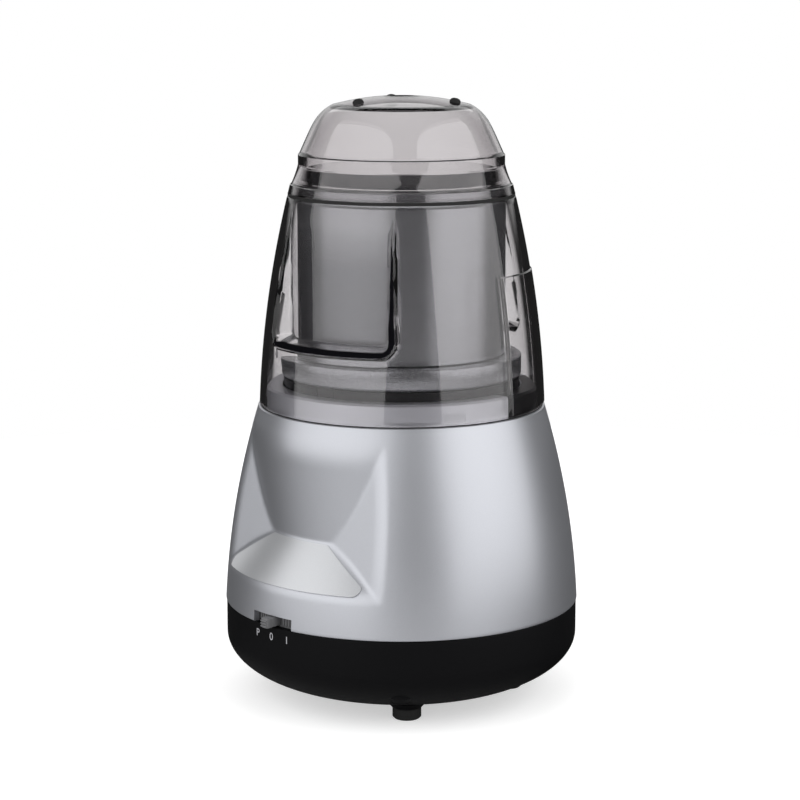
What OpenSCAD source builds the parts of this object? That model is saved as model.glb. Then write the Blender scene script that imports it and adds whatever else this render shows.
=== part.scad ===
// Electric grinder: a motor base, a twist-on jar under a smoked cover, and a domed cap.
// Millimetres, +Z up, front at -Y, origin on the surface it stands on, below the motor's axis.
// An azimuth is measured from the front, positive towards +X.

/* [Base] */
// Radius of the body at the seam between the pan and the housing
base_r = 70.3; // [67:0.1:73]
// Height of that seam above the surface
seam_z = 38; // [36:0.5:42]
// Height of the pan's flat underside
pan_z = 4.2; // [3.6:0.1:5]
// Reach inwards of the pan's rounded underside
pan_round_w = 40.7; // [34:0.1:44]
// Rise of the pan's rounded underside
pan_round_h = 20.5; // [16:0.5:23]
// Wall of the pan and the housing
wall = 2.5; // [2:0.1:3]
// Height of the housing from the seam to its shoulder
housing_h = 78.3; // [74:0.1:84]
// Reach of the housing's shoulder past the bowl's side
shoulder_reach = 15.8; // [13.3:0.1:18.3]
// Swell of the housing's side past a straight cone, at half height
housing_swell = 2.5; // [1.5:0.1:3.5]
// Height of the neck above the shoulder
neck_h = 8.4; // [7.5:0.1:10]
// Depth of the well in the deck, below the neck's top
well_depth = 12.5; // [12:0.1:14]
// Width of the deck between the well and the lock ring
well_step = 6; // [4:0.5:8]

/* [Feet] */
// Radius of a rubber foot
foot_r = 5.6; // [4.5:0.1:7]
// Visible height of a rubber foot
foot_h = 4.4; // [4:0.1:4.6]
// Radius of the circle that the feet stand on
foot_ring_r = 43; // [40:0.5:47]
// Azimuth of the front feet
foot_az = 48; // [40:1:55]

/* [Front panel] */
// Height of the panel's valley above the seam
panel_valley = 32.2; // [28:0.2:36]
// Height of the panel's top edge above the seam
panel_top = 67.5; // [62:0.5:70]
// Height of the panel's bottom edge above the seam
panel_bottom = 16; // [13:0.5:19]
// Depth of the valley below the housing's side
panel_depth = 11.4; // [8:0.1:12]
// Half angle of the valley
panel_valley_half = 16.2; // [12:0.2:20]
// Half angle of the panel's top and bottom edges
panel_half = 38.5; // [34:0.5:41]
// Thickness of the label plate
label_t = 0.6; // [0.4:0.1:1]
// Margin of bare panel round the label plate
label_margin = 1.3; // [0.8:0.1:2]

/* [Switch] */
// Turn of the switch to either side
switch_turn = 6.7; // [5:0.1:8]
// Half angle of the switch knob
knob_half = 1.7; // [1.2:0.1:2]
// Height of the slot above the seam
slot_h = 4.5; // [4:0.1:6]
// Reach of the knob's tip past the base's side
knob_reach = 4.2; // [3.4:0.1:6]

/* [Cover] */
// Ledge of the housing's shoulder that shows round the cover's foot
cover_ledge = 0.4; // [0.2:0.1:1]
// Height of the cover
cover_h = 81.6; // [78:0.1:85]
// Swell of the cover's side past a straight cone, at half height
cover_swell = 2.1; // [1.5:0.1:3]
// Gap between the cover and the bowl at the cover's top
cover_bowl_gap = 1.7; // [1.4:0.1:2.2]
// Wall of the cover
cover_t = 2.2; // [1.8:0.1:2.6]
// Azimuth of the jar's front, as it stands before it is locked
jar_az = 7; // [0:1:10]
// Height of the grip's ledge above the cover's foot
grip_z = 26.6; // [24:0.2:30]
// Gap between the bowl's side and the grip's floor
grip_gap = 5.7; // [4.9:0.1:7.3]
// Half width of the grip
grip_half_w = 33; // [28:0.5:35]
// Radius of the grip's lower corners
grip_corner = 5; // [3:0.5:7]

/* [Bowl] */
// Outer radius of the bowl
bowl_r = 40.7; // [40:0.1:41]
// Wall of the bowl
bowl_t = 1.6; // [1.2:0.1:2]
// Thickness of the bowl's floor
bowl_floor_t = 2.5; // [2:0.1:3]
// Height of the bowl's rim above the cover's top edge
rim_rise = 4.8; // [4:0.1:5.4]
// Width of the collar past the bowl
collar_w = 6.5; // [5.7:0.1:7.3]
// Height of the collar
collar_h = 8.4; // [8:0.1:10]

/* [Cap] */
// Height of the cap
cap_h = 37.4; // [35:0.1:40]
// Height of the cap's rim band
cap_band_h = 3.4; // [2.8:0.1:4]
// Step inwards from the bowl's side to the cap's upright band
cap_band_in = 0.4; // [0.1:0.1:0.9]
// Height of the cap's upright band above the cap's foot
cap_band_z = 11; // [10:0.1:12]
// Radius of the crease round the cap's top
cap_crease_r = 27; // [24:0.2:29]
// Depth of the crease below the cap's top
cap_crease_drop = 3.5; // [2.6:0.1:4.4]
// Wall of the cap
cap_t = 1.8; // [1.5:0.1:2]
// Radius of the dimple in the cap's top
dimple_r = 7.3; // [6:0.1:9]
// Radius of the circle of the cap's nubs
nub_ring_r = 21.8; // [18:0.2:23]
// Radius of a nub
nub_r = 2; // [1.5:0.1:2.5]
// Azimuth of the front nub
nub_az = -4; // [-20:1:20]

/* [Lock] */
// Turn that locks the jar
lock_turn = 22; // [18:1:24]
// Reach of the lock ring past the bowl's side
ring_reach = 5.8; // [5.3:0.1:6.1]
// Radial width of the lock ring
ring_w = 4.5; // [4:0.1:5]
// Height of the lock ring that shows above the deck
ring_show = 3.3; // [2.8:0.1:4]
// Depth of the lock ring's groove
groove_depth = 4; // [3.5:0.1:4.4]
// Width in degrees of a bayonet lug
lug_width = 8; // [6:0.5:10]
// Travel of the interlock pin
pin_travel = 2.5; // [2:0.1:2.8]
// Radius of the interlock pin
pin_r = 2; // [1.6:0.1:2.1]
// Azimuth of the interlock pin
pin_az = 150; // [146:1:156]

/* [Motor] */
// Half width of the stator's square
stator_half = 29; // [27:0.5:30]
// Height of the stator
stator_h = 32; // [28:1:34]
// Radius of the armature
armature_r = 16.4; // [15:0.1:17]
// Radius of the motor shaft and the blade shaft
shaft_r = 3; // [2.5:0.1:3.5]
// Radius of the motor's bearings
bearing_r = 8; // [7:0.1:9]
// Height of the motor's bearings
bearing_h = 7; // [6:0.1:8]
// Radius of the fan
fan_r = 29; // [24:0.5:31]

/* [Blade drive] */
// Radius of the two coupling halves
coupling_r = 15; // [13:0.5:17]
// Height of a coupling's dogs
dog_h = 6; // [5:0.1:6.4]
// Width in degrees of a coupling's dog
dog_width = 40; // [30:1:50]
// Gap between a blade's tip and the bowl's wall
blade_gap = 4.1; // [2.1:0.1:11.1]
// Width of a blade at its root
blade_w = 13; // [10:0.5:15]
// Thickness of a blade
blade_t = 1.5; // [1.2:0.1:2]

/* [Cord inlet] */
// Radius of the hole for the cord
cord_r = 3.6; // [3:0.1:4]
// Height of the cord's hole above the surface
cord_z = 26; // [25:0.5:27]

/* [Fits] */
// Clearance between pieces that are lifted or turned by hand
hand_gap = 0.3; // [0.25:0.05:0.4]
// Clearance between fixed pieces that are pushed together
push_gap = 0.1; // [0.05:0.01:0.15]
// Radial clearance of a running shaft
run_gap = 0.05; // [0.03:0.01:0.1]

/* [Hidden] */
$fn = 96;
steps = 12;
big = 300;

// Heights that follow from the driving sizes
pan_r = base_r - hand_gap;
shoulder_z = seam_z + housing_h;
deck_z = shoulder_z + neck_h;
well_z = deck_z - well_depth;
cover_z = shoulder_z + hand_gap;
cover_top_z = cover_z + cover_h;
ring_top_z = deck_z + ring_show;
ring_z = deck_z - groove_depth + hand_gap;
collar_z = ring_top_z + hand_gap;
rim_z = cover_top_z + rim_rise;
seat_seal_t = 1.1;
seat_gap = 0.2;
cap_z = cover_top_z + seat_seal_t + seat_gap;
cap_top_z = cap_z + cap_h;

// Radius at height z of a cone from r0 at z0 to r1 at z1 whose side swells at half height
function side_r(z, z0, r0, z1, r1, swell) =
    let (t = (z - z0) / (z1 - z0)) r0 + (r1 - r0) * t + 4 * swell * t * (1 - t);
function housing_r(z) = side_r(z, seam_z, base_r, shoulder_z, shoulder_r, housing_swell);
function cover_side(z) = side_r(z, cover_z, cover_r, cover_top_z, cover_top_r, cover_swell);
function spread(a, b) = [for (i = [0:steps]) a + (b - a) * i / steps];
function polar(r, az, z) = [r * sin(az), -r * cos(az), z];
// Three places a third of a turn apart
function thirds(az) = [az, az + 120, az + 240];

// Radii that follow the bowl
shoulder_r = bowl_r + shoulder_reach;
collar_r = bowl_r + collar_w;
ring_r = bowl_r + ring_reach;
well_r = ring_r - ring_w - well_step;
grip_r = bowl_r + grip_gap;
cap_band_r = bowl_r - cap_band_in;
blade_r = bowl_r - bowl_t - blade_gap;

cover_r = shoulder_r - cover_ledge;
cover_in_top = bowl_r + cover_bowl_gap;
cover_top_r = cover_in_top + cover_t;
neck_gap = hand_gap + push_gap;
neck_r = cover_side(deck_z) - cover_t - neck_gap;
neck_wall = 4.2;
neck_chamfer = 0.8;
knob_tip_r = base_r + knob_reach;
slot_play = 0.3;
slot_half = switch_turn + knob_half + slot_play;

module revolve(points) { rotate_extrude() polygon(points); }
module ring(r_in, r_out, z0, z1) {
    rotate_extrude() translate([r_in, z0]) square([r_out - r_in, z1 - z0]);
}
module rod(r, z0, z1) { translate([0, 0, z0]) cylinder(r = r, h = z1 - z0); }
module sector(r_in, r_out, z0, z1, az, width) {
    rotate([0, 0, az - 90 - width / 2])
        rotate_extrude(angle = width) translate([r_in, z0]) square([r_out - r_in, z1 - z0]);
}
module at(az, r, z = 0) { rotate([0, 0, az]) translate([0, -r, z]) children(); }
module block(x, y, z0, z1) { translate([-x / 2, -y / 2, z0]) cube([x, y, z1 - z0]); }

// Front panel: two cones of revolution that meet in a valley, ended by a plane on each side

panel_top_z = seam_z + panel_top;
panel_bottom_z = seam_z + panel_bottom;
panel_valley_z = seam_z + panel_valley;
panel_valley_r = housing_r(panel_valley_z) - panel_depth;
panel_top_r = housing_r(panel_top_z);
panel_bottom_r = housing_r(panel_bottom_z);

// Radius of a cone through two points, carried on past its ends
function cone_r(z, za, ra, zb, rb) = ra + (rb - ra) * (z - za) / (zb - za);

// The panel's cutter, grown inwards by a wall thickness, its cones carried on past their ends
module panel_cutter(grow) {
    run = 14;
    upper_r = cone_r(panel_top_z + run, panel_valley_z, panel_valley_r, panel_top_z, panel_top_r);
    lower_r = cone_r(panel_bottom_z - run, panel_valley_z, panel_valley_r, panel_bottom_z, panel_bottom_r);
    sink = grow * (panel_bottom_r - panel_valley_r) / (panel_valley_z - panel_bottom_z) / 2;
    intersection() {
        revolve([
            [panel_valley_r - grow, panel_valley_z - sink],
            [lower_r - grow, panel_bottom_z - run - sink],
            [big, panel_bottom_z - run - sink],
            [big, panel_top_z + run],
            [upper_r - grow, panel_top_z + run]
        ]);
        panel_wedge(grow);
    }
}

// Space between the panel's two side planes, each grown outwards by a wall thickness
module panel_wedge(grow) {
    intersection() {
        panel_side(grow);
        mirror([1, 0, 0]) panel_side(grow);
    }
}

module panel_side(grow) {
    top = polar(panel_top_r, panel_half, panel_top_z);
    mid = polar(panel_valley_r, panel_valley_half, panel_valley_z);
    low = polar(panel_bottom_r, panel_half, panel_bottom_z);
    across = cross(top - mid, low - mid);
    away = across.y > 0 ? across : -across;
    unit = away / norm(away);
    translate(mid + unit * grow)
        rotate([0, acos(unit.z), atan2(unit.y, unit.x)])
            translate([-big, -big, -2 * big]) cube([2 * big, 2 * big, 2 * big]);
}

// Motor base: the silver housing with its shoulder, neck, deck and well

boss_az = [45, 135, -135, -45];
boss_inset = 7.5;
boss_ring_r = base_r - wall - boss_inset;
boss_r = 4.6;
boss_h = 22;
boss_top_z = seam_z + boss_h;
rib_w = 3;
rib_z = seam_z + 8;
rib_reach = housing_r(boss_top_z) - wall / 2 - boss_ring_r;
// A screw's thread, the hole that it bites in, the part of it inside that hole, and a free hole
screw_r = 1.7;
pilot_r = screw_r - 0.2;
shank_r = screw_r - 0.25;
screw_hole_r = screw_r + 0.2;
lip_h = 3;
motor_az = foot_az;
motor_az_all = [for (i = [0:3]) motor_az + 90 * i];
pin_ring_r = ring_r - ring_w / 2;
bracket_face = pin_r + 2.3;
bracket_t = 1.4;
plate_gap = 2.55;
plate_r = pin_ring_r - bracket_face - bracket_t - plate_gap;
motor_post_in = 5;
motor_post_ring = plate_r - motor_post_in;
motor_post_r = 4.5;
motor_post_h = 11;
isolator_h = 4;
motor_post_z = well_z - wall - motor_post_h;
deck_t = 2.6;
groove_z = deck_z - groove_depth;
shaft_hole_r = shaft_r + 3.4;
lug_az = thirds(jar_az + 60);
lug_z = cover_z + 1.2;
lug_h = 2.6;
lug_depth = 2;

module housing_outer() {
    revolve(concat(
        [[0, seam_z]],
        [for (z = spread(seam_z, shoulder_z)) [housing_r(z), z]],
        [[neck_r, shoulder_z], [neck_r, deck_z - neck_chamfer], [neck_r - neck_chamfer, deck_z], [0, deck_z]]
    ));
}

module housing_void() {
    difference() {
        revolve(concat(
            [[0, seam_z - 1], [housing_r(seam_z) - wall, seam_z - 1]],
            [for (z = spread(seam_z, shoulder_z - wall)) [housing_r(z) - wall, z]],
            [[neck_r - neck_wall, shoulder_z - wall], [neck_r - neck_wall, groove_z - deck_t],
             [well_r + wall, groove_z - deck_t], [well_r + wall, well_z - wall], [0, well_z - wall]]
        ));
        panel_cutter(wall);
    }
}

// Slots in the neck that a lug drops into and then turns along, under the neck's top
module bayonet_slots() {
    play = 1.5;
    entry = lug_width + play;
    floor_r = neck_r - lug_depth - hand_gap;
    step = 0.05;
    merge = 1;
    for (az = lug_az) {
        sector(floor_r, neck_r + 5, lug_z - hand_gap, deck_z + 1, az, entry);
        sector(floor_r + step, neck_r + 4, lug_z - hand_gap + step, lug_z + lug_h + hand_gap - step,
               az - (lock_turn + entry - merge) / 2, lock_turn + merge);
    }
}

module base_housing() {
    color([0.76, 0.77, 0.8])
    difference() {
        union() {
            difference() {
                housing_outer();
                panel_cutter(0);
                housing_void();
                ring(pin_ring_r - ring_w / 2 - hand_gap, ring_r + hand_gap, groove_z, deck_z + 1);
                rod(well_r, well_z, deck_z + 1);
                bayonet_slots();
            }
            for (az = boss_az) at(az, boss_ring_r) {
                rod(boss_r, seam_z + lip_h + hand_gap, boss_top_z);
                translate([-rib_w / 2, -rib_reach, rib_z])
                    cube([rib_w, rib_reach - boss_r / 2, boss_top_z - rib_z]);
            }
            for (az = motor_az_all) at(az, motor_post_ring)
                rod(motor_post_r, motor_post_z, well_z - wall / 2);
            at(pin_az, pin_ring_r) guide_boss();
        }
        rod(shaft_hole_r, well_z - wall - 1, well_z + 1);
        for (az = boss_az) at(az, boss_ring_r) rod(pilot_r, seam_z, boss_top_z - 2);
        for (az = motor_az_all) at(az, motor_post_ring)
            rod(pilot_r, motor_post_z - 1, well_z - wall - 1.5);
        at(pin_az, pin_ring_r) rod(pin_r + guide_gap, groove_z - deck_t - guide_h - 1, groove_z + 1);
        sector(base_r - 14, base_r + 6, seam_z - 1, seam_z + slot_h, 0, 2 * slot_half);
    }
}

// The interlock pin's guide below the deck
guide_h = 3;
guide_gap = 0.15;
guide_wall = 2;
module guide_boss() { rod(pin_r + guide_wall, groove_z - deck_t - guide_h, groove_z - deck_t / 2); }

// The trapezoid label plate that lies on the panel's lower facet
module label_plate() {
    slope = atan2(panel_bottom_r - panel_valley_r, panel_valley_z - panel_bottom_z);
    out = [cos(slope), sin(slope)];
    along = [sin(slope), -cos(slope)];
    length = norm([panel_bottom_r - panel_valley_r, panel_valley_z - panel_bottom_z]);
    lift = 0.02;
    low_margin = label_margin + 1;
    start = [panel_valley_r, panel_valley_z] + along * label_margin + out * lift;
    end = start + along * (length - label_margin - low_margin);
    sweep = 100;
    color([0.72, 0.73, 0.76])
    intersection() {
        rotate([0, 0, -90 - sweep / 2]) rotate_extrude(angle = sweep)
            polygon([start, end, end + out * label_t, start + out * label_t]);
        panel_wedge(-label_margin);
    }
}

// Pan: the black lower shell, with foot bosses, screw posts, vents and switch posts

vent_n = 10;
vent_w = 3;
vent_l = 16;
vent_in = 10;
gland_r = cord_r + 2.4;
boss_cone_h = 2.6;
slide_top_z = seam_z + slot_h + 3;
slide_r = min(pan_r, housing_r(slide_top_z)) - wall - hand_gap;
slide_t = 1.8;
switch_room = 5.2;
switch_z0 = seam_z - 7;
switch_front_r = slide_r - slide_t - switch_room;
switch_depth = 12;
switch_w = 26;
switch_h = 14;
switch_post_x = 8;
switch_post_r = 3;
switch_screw_r = 1.2;
switch_screw_l = 8;
pan_post_r = boss_r + 0.6;
foot_places = [foot_az, -foot_az, 180 - foot_az, foot_az - 180];

// Section of the pan's bowl, moved inwards by the wall where inset is the wall
function pan_section(inset, top) = concat(
    [[0, pan_z + inset]],
    [for (i = [0:steps]) let (a = 90 * i / steps)
        [pan_r - pan_round_w + (pan_round_w - inset) * sin(a),
         pan_z + pan_round_h - (pan_round_h - inset) * cos(a)]],
    [[pan_r - inset, top], [0, top]]
);
// Height of the pan's outer underside at radius r
function pan_under(r) = let (x = (r - pan_r + pan_round_w) / pan_round_w)
    pan_z + pan_round_h * (1 - sqrt(1 - x * x));

module pan_void() { revolve(pan_section(wall, seam_z + 1)); }

module pan_posts() {
    intersection() {
        union() {
            for (az = boss_az) at(az, boss_ring_r) rod(pan_post_r, pan_z, seam_z + lip_h);
            for (x = [-switch_post_x, switch_post_x])
                translate([x, -switch_front_r + switch_depth / 2, 0]) rod(switch_post_r, pan_z, switch_z0);
            for (az = foot_places)
                at(az, foot_ring_r) rod(foot_r, pan_z, pan_under(foot_ring_r) + wall + 3);
        }
        union() {
            revolve(pan_section(wall / 2, seam_z));
            rod(base_r - wall - 1, seam_z - 1, seam_z + lip_h);
        }
    }
}

module base_pan() {
    tongue_r = base_r - wall - hand_gap;
    tongue_in = tongue_r - 2;
    tongue_root = seam_z - 5;
    front_gap = 60;
    color([0.06, 0.06, 0.065])
    difference() {
        union() {
            difference() {
                revolve(pan_section(0, seam_z));
                pan_void();
            }
            pan_posts();
            difference() {
                revolve([[tongue_in, tongue_root], [tongue_r + neck_gap, tongue_root],
                         [tongue_r + neck_gap, seam_z], [tongue_r, seam_z], [tongue_r, seam_z + lip_h],
                         [tongue_in, seam_z + lip_h]]);
                sector(tongue_in - 1, base_r, tongue_root - 1, seam_z + lip_h + 1, 0, front_gap);
                for (az = boss_az) at(az, boss_ring_r) rod(pan_post_r, tongue_root - 1, seam_z + lip_h + 1);
            }
            for (az = foot_places) at(az, foot_ring_r)
                translate([0, 0, foot_h])
                    cylinder(r1 = foot_r + 0.2, r2 = foot_r + boss_cone_h, h = boss_cone_h);
        }
        for (az = foot_places)
            at(az, foot_ring_r) rod(foot_stem_r + push_gap, 0, foot_h + foot_stem_h + 0.3);
        for (az = boss_az) at(az, boss_ring_r) {
            rod(screw_hole_r, 0, seam_z + lip_h + 1);
            rod(screw_head_r + 0.3, 0, screw_seat_z);
        }
        for (i = [0:vent_n - 1]) rotate([0, 0, 360 / vent_n * (i + 0.5)])
            translate([vent_in, -vent_w / 2, 0]) cube([vent_l, vent_w, pan_z + wall + 4]);
        translate([0, gland_root, cord_z]) rotate([-90, 0, 0])
            cylinder(r = gland_r + push_gap, h = 2 * gland_in);
        for (x = [-switch_post_x, switch_post_x])
            translate([x, -switch_front_r + switch_depth / 2, 0])
                rod(switch_screw_r + push_gap, switch_z0 - switch_screw_l - 1, switch_z0 + 1);
    }
}

// Rubber feet: a plug with a stem pushed into each boss
foot_stem_r = 2.4;
foot_stem_h = 4.2;
module rubber_feet() {
    color([0.1, 0.1, 0.1])
    for (az = foot_places) at(az, foot_ring_r)
        revolve([[0, 0], [foot_r - 0.7, 0], [foot_r, 0.7], [foot_r, foot_h], [foot_stem_r, foot_h],
                 [foot_stem_r, foot_h + foot_stem_h], [0, foot_h + foot_stem_h]]);
}

// Screws that hold the pan to the housing, up wells in the pan's underside
screw_head_r = 3.2;
screw_head_h = 2.4;
screw_seat_z = seam_z - 14;
module housing_screws() {
    color([0.6, 0.6, 0.62])
    for (az = boss_az) at(az, boss_ring_r) difference() {
        union() {
            rod(screw_head_r, screw_seat_z - screw_head_h, screw_seat_z);
            rod(shank_r, screw_seat_z - 0.5, boss_top_z - 3);
        }
        for (turn = [0, 90]) rotate([0, 0, turn])
            block(4, 0.9, screw_seat_z - 3, screw_seat_z - screw_head_h / 2);
    }
}

// Rubber bush at the back that the supply cord goes through, standing out as far as the knob
gland_in = 9.5;
gland_root = base_r - gland_in;
gland_lip = 1.6;
gland_lip_l = 3.5;
gland_flange_t = 2;
gland_gap = 0.4;
module cord_gland() {
    color([0.07, 0.07, 0.07])
    translate([0, 0, cord_z]) rotate([-90, 0, 0]) difference() {
        union() {
            rod(gland_r, gland_root, knob_tip_r);
            rod(gland_r + gland_lip, gland_root, gland_root + gland_lip_l);
            rod(gland_r + gland_lip, base_r + gland_gap, base_r + gland_gap + gland_flange_t);
        }
        rod(cord_r, gland_root - 1, knob_tip_r + 1);
    }
}

// Switch: a curved slide with a thumb knob, in front of the switch body

slide_sweep = 34;
peg_gap = 0.9;
module switch_slide() {
    color([0.35, 0.35, 0.37])
    union() {
        sector(slide_r - slide_t, slide_r, seam_z - 4, slide_top_z, 0, slide_sweep);
        sector(slide_r - 1, base_r + 1.6, seam_z + 0.4, seam_z + slot_h - 0.5, 0, 2 * knob_half);
        sector(base_r + 1, knob_tip_r - 1, seam_z - 2.4, seam_z + slot_h - 0.1, 0, 2 * knob_half);
        sector(knob_tip_r - 1.2, knob_tip_r, seam_z - 1.6, seam_z + slot_h - 1.2, 0, 2 * knob_half - 0.6);
        for (az = [-12:1.5:12]) if (abs(az) > 3)
            sector(slide_r - 0.3, slide_r + 0.3, seam_z + 0.6, seam_z + slot_h - 0.6, az, 0.6);
        translate([-1.2, -slide_r + 1, seam_z - 0.8])
            cube([2.4, slide_r - 1 - switch_front_r - peg_gap, 3]);
    }
}

module switch_body() {
    color([0.15, 0.15, 0.16])
    difference() {
        union() {
            translate([-switch_w / 2, -switch_front_r, switch_z0]) cube([switch_w, switch_depth, switch_h]);
            for (x = [-8, 0, 8]) translate([x - 1.5, -switch_front_r + switch_depth - 1, switch_z0 + 6])
                cube([3, 6, 0.8]);
        }
        for (x = [-switch_post_x, switch_post_x])
            translate([x, -switch_front_r + switch_depth / 2, 0])
                rod(switch_screw_r + hand_gap, switch_z0 - 1, switch_z0 + switch_h + 1);
    }
}

module switch_screws() {
    top = switch_z0 + switch_h;
    color([0.6, 0.6, 0.62])
    for (x = [-switch_post_x, switch_post_x]) translate([x, -switch_front_r + switch_depth / 2, 0]) {
        rod(switch_screw_r, switch_z0 - switch_screw_l, top + 0.5);
        rod(2.6, top, top + 1.8);
    }
}

// Motor: a universal motor hung from the deck on rubber isolators

plate_t = 3;
post_gap_h = 14;
bolt_half = 22;
bolt_ring = bolt_half * sqrt(2);
bolt_r = 1.9;
bolt_gap = 0.1;
bolt_head_r = 3.4;
bolt_head_h = 2.4;
bolt_nut_r = 3.6;
bolt_nut_h = 2.6;
top_plate_z = motor_post_z - isolator_h - plate_t;
stator_top_z = top_plate_z - post_gap_h;
stator_z = stator_top_z - stator_h;
armature_z = stator_z + 2;
armature_top_z = stator_top_z - 2;
winding_end_h = 5;
low_plate_z = stator_z - post_gap_h - plate_t;
boss_wall = 3;
top_bearing_z = top_plate_z - 3;
low_bearing_z = low_plate_z - 2;
stator_bore = armature_r + 0.7;
coil_out = stator_bore + 7.4;
coil_gap = 0.4;
coil_end_h = 6;

module motor_turn() { rotate([0, 0, motor_az]) children(); }
module bolt_places() { for (i = [0:3]) at(45 + 90 * i, bolt_ring) children(); }

module stator_core() {
    color([0.42, 0.43, 0.45])
    motor_turn() difference() {
        intersection() {
            block(2 * stator_half, 2 * stator_half, stator_z, stator_top_z);
            rod(stator_half * 1.28, stator_z, stator_top_z);
        }
        rod(stator_bore, stator_z - 1, stator_top_z + 1);
        for (az = [90, -90]) sector(stator_bore - 1, coil_out, stator_z - 1, stator_top_z + 1, az, 84);
        bolt_places() rod(bolt_r + bolt_gap, stator_z - 1, stator_top_z + 1);
    }
}

// Two field coils, each a loop round one pole with its long sides in the stator's windows
module field_coils() {
    r0 = stator_bore + coil_gap;
    r1 = coil_out - coil_gap;
    color([0.72, 0.4, 0.2])
    motor_turn() for (pole = [0, 180]) rotate([0, 0, pole]) difference() {
        sector(r0, r1, stator_z - coil_end_h, stator_top_z + coil_end_h, 0, 146);
        sector(r0 - 1, r1 + 1, stator_z - coil_gap, stator_top_z + coil_gap, 0, 98);
    }
}

// A bearing bracket: a round plate with four windows, four posts and a bearing seat
module bearing_bracket(plate_z, seat_z, post_z0, post_z1) {
    difference() {
        union() {
            rod(plate_r, plate_z, plate_z + plate_t);
            rod(bearing_r + boss_wall, seat_z, seat_z + bearing_h);
            bolt_places() rod(4, post_z0, post_z1);
        }
        rod(bearing_r, seat_z - 1, seat_z + bearing_h + 1);
        for (az = [0:90:270]) sector(bearing_r + boss_wall + 2, plate_r - 11, plate_z - 1,
                                     plate_z + plate_t + 1, az, 58);
        bolt_places() rod(bolt_r + bolt_gap, plate_z - 1, plate_z + post_gap_h + plate_t + 2);
        bolt_places() rod(bolt_r + bolt_gap, plate_z - post_gap_h - 2, plate_z + 1);
    }
}

module top_bracket() {
    color([0.7, 0.71, 0.72])
    motor_turn() difference() {
        bearing_bracket(top_plate_z, top_bearing_z, stator_top_z, top_plate_z + plate_t / 2);
        for (i = [0:3]) at(90 * i, motor_post_ring)
            rod(screw_hole_r, top_plate_z - 1, top_plate_z + plate_t + 1);
    }
}

module low_bracket() {
    color([0.7, 0.71, 0.72])
    motor_turn() bearing_bracket(low_plate_z, low_bearing_z, low_plate_z + plate_t / 2, stator_z);
}

module motor_bolts() {
    color([0.6, 0.6, 0.62])
    motor_turn() bolt_places() {
        rod(bolt_r, low_plate_z - bolt_nut_h - 0.4, top_plate_z + plate_t + 0.5);
        rod(bolt_head_r, top_plate_z + plate_t, top_plate_z + plate_t + bolt_head_h);
    }
}

module motor_nuts() {
    color([0.62, 0.62, 0.64])
    motor_turn() bolt_places() difference() {
        translate([0, 0, low_plate_z - bolt_nut_h]) cylinder(r = bolt_nut_r, h = bolt_nut_h, $fn = 6);
        rod(bolt_r + run_gap, low_plate_z - bolt_nut_h - 1, low_plate_z + 1);
    }
}

// A plain bearing ring with the bore that the shaft runs in
module bearing(z) {
    difference() {
        rod(bearing_r - run_gap, z, z + bearing_h);
        rod(shaft_r + run_gap, z - 1, z + bearing_h + 1);
    }
}
module top_bearing() { color([0.75, 0.75, 0.77]) bearing(top_bearing_z); }
module low_bearing() { color([0.75, 0.75, 0.77]) bearing(low_bearing_z); }

// Rubber rings between the motor's top bracket and the deck's posts
module motor_isolators() {
    color([0.12, 0.12, 0.12])
    for (az = motor_az_all) at(az, motor_post_ring)
        ring(screw_hole_r, motor_post_r + 0.6, top_plate_z + plate_t, motor_post_z);
}

module motor_screws() {
    color([0.6, 0.6, 0.62])
    for (az = motor_az_all) at(az, motor_post_ring) {
        rod(shank_r, top_plate_z - 0.5, motor_post_z + 8);
        rod(bolt_head_r, top_plate_z - bolt_head_h, top_plate_z);
    }
}

// Brush gear, one holder on each side of the commutator
commutator_r = 9.5;
commutator_z = low_bearing_z + bearing_h + 0.6;
commutator_top_z = armature_z - winding_end_h - 0.2;
brush_z = (commutator_z + commutator_top_z) / 2;
brush_w = 5;
holder_w = 7.6;
holder_in = commutator_r + 1.5;
holder_out = 27;

module brush_holders() {
    color([0.25, 0.16, 0.1])
    motor_turn() for (az = [90, -90]) rotate([0, 0, az]) difference() {
        union() {
            translate([-holder_w / 2, -holder_out, brush_z - holder_w / 2])
                cube([holder_w, holder_out - holder_in, holder_w]);
            translate([-holder_w / 2, -holder_out, low_plate_z + plate_t])
                cube([holder_w, 6, brush_z - low_plate_z - plate_t]);
        }
        translate([-brush_w / 2 - push_gap, -holder_out + 1.5, brush_z - brush_w / 2 - push_gap])
            cube([brush_w + 2 * push_gap, holder_out, brush_w + 2 * push_gap]);
    }
}

module carbon_brushes() {
    color([0.1, 0.1, 0.1])
    motor_turn() for (az = [90, -90]) rotate([0, 0, az])
        translate([-brush_w / 2, -holder_out + 8, brush_z - brush_w / 2])
            cube([brush_w, holder_out - 8 - commutator_r - hand_gap, brush_w]);
}

module brush_springs() {
    color([0.8, 0.7, 0.4])
    motor_turn() for (az = [90, -90]) rotate([0, 0, az])
        translate([0, -holder_out + 8, brush_z]) rotate([90, 0, 0]) difference() {
            cylinder(r = brush_w / 2 - 0.2, h = 6.5);
            translate([0, 0, -1]) cylinder(r = brush_w / 2 - 1, h = 9);
        }
}

// Rotor
fan_z = low_bearing_z - 12;
fan_h = 9;
drive_z = well_z + 2.5;
disc_t = 4;
dog_l = 7;
dog_step = 0.5;

module motor_shaft() {
    color([0.7, 0.7, 0.72])
    rod(shaft_r, fan_z - 1, drive_z + disc_t + 1);
}

module armature_core() {
    slots = 12;
    color([0.4, 0.41, 0.43])
    difference() {
        rod(armature_r, armature_z, armature_top_z);
        rod(shaft_r, armature_z - 1, armature_top_z + 1);
        for (i = [0:slots - 1]) at(360 / slots * i, armature_r)
            block(2, 8, armature_z - 1, armature_top_z + 1);
    }
}

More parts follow.
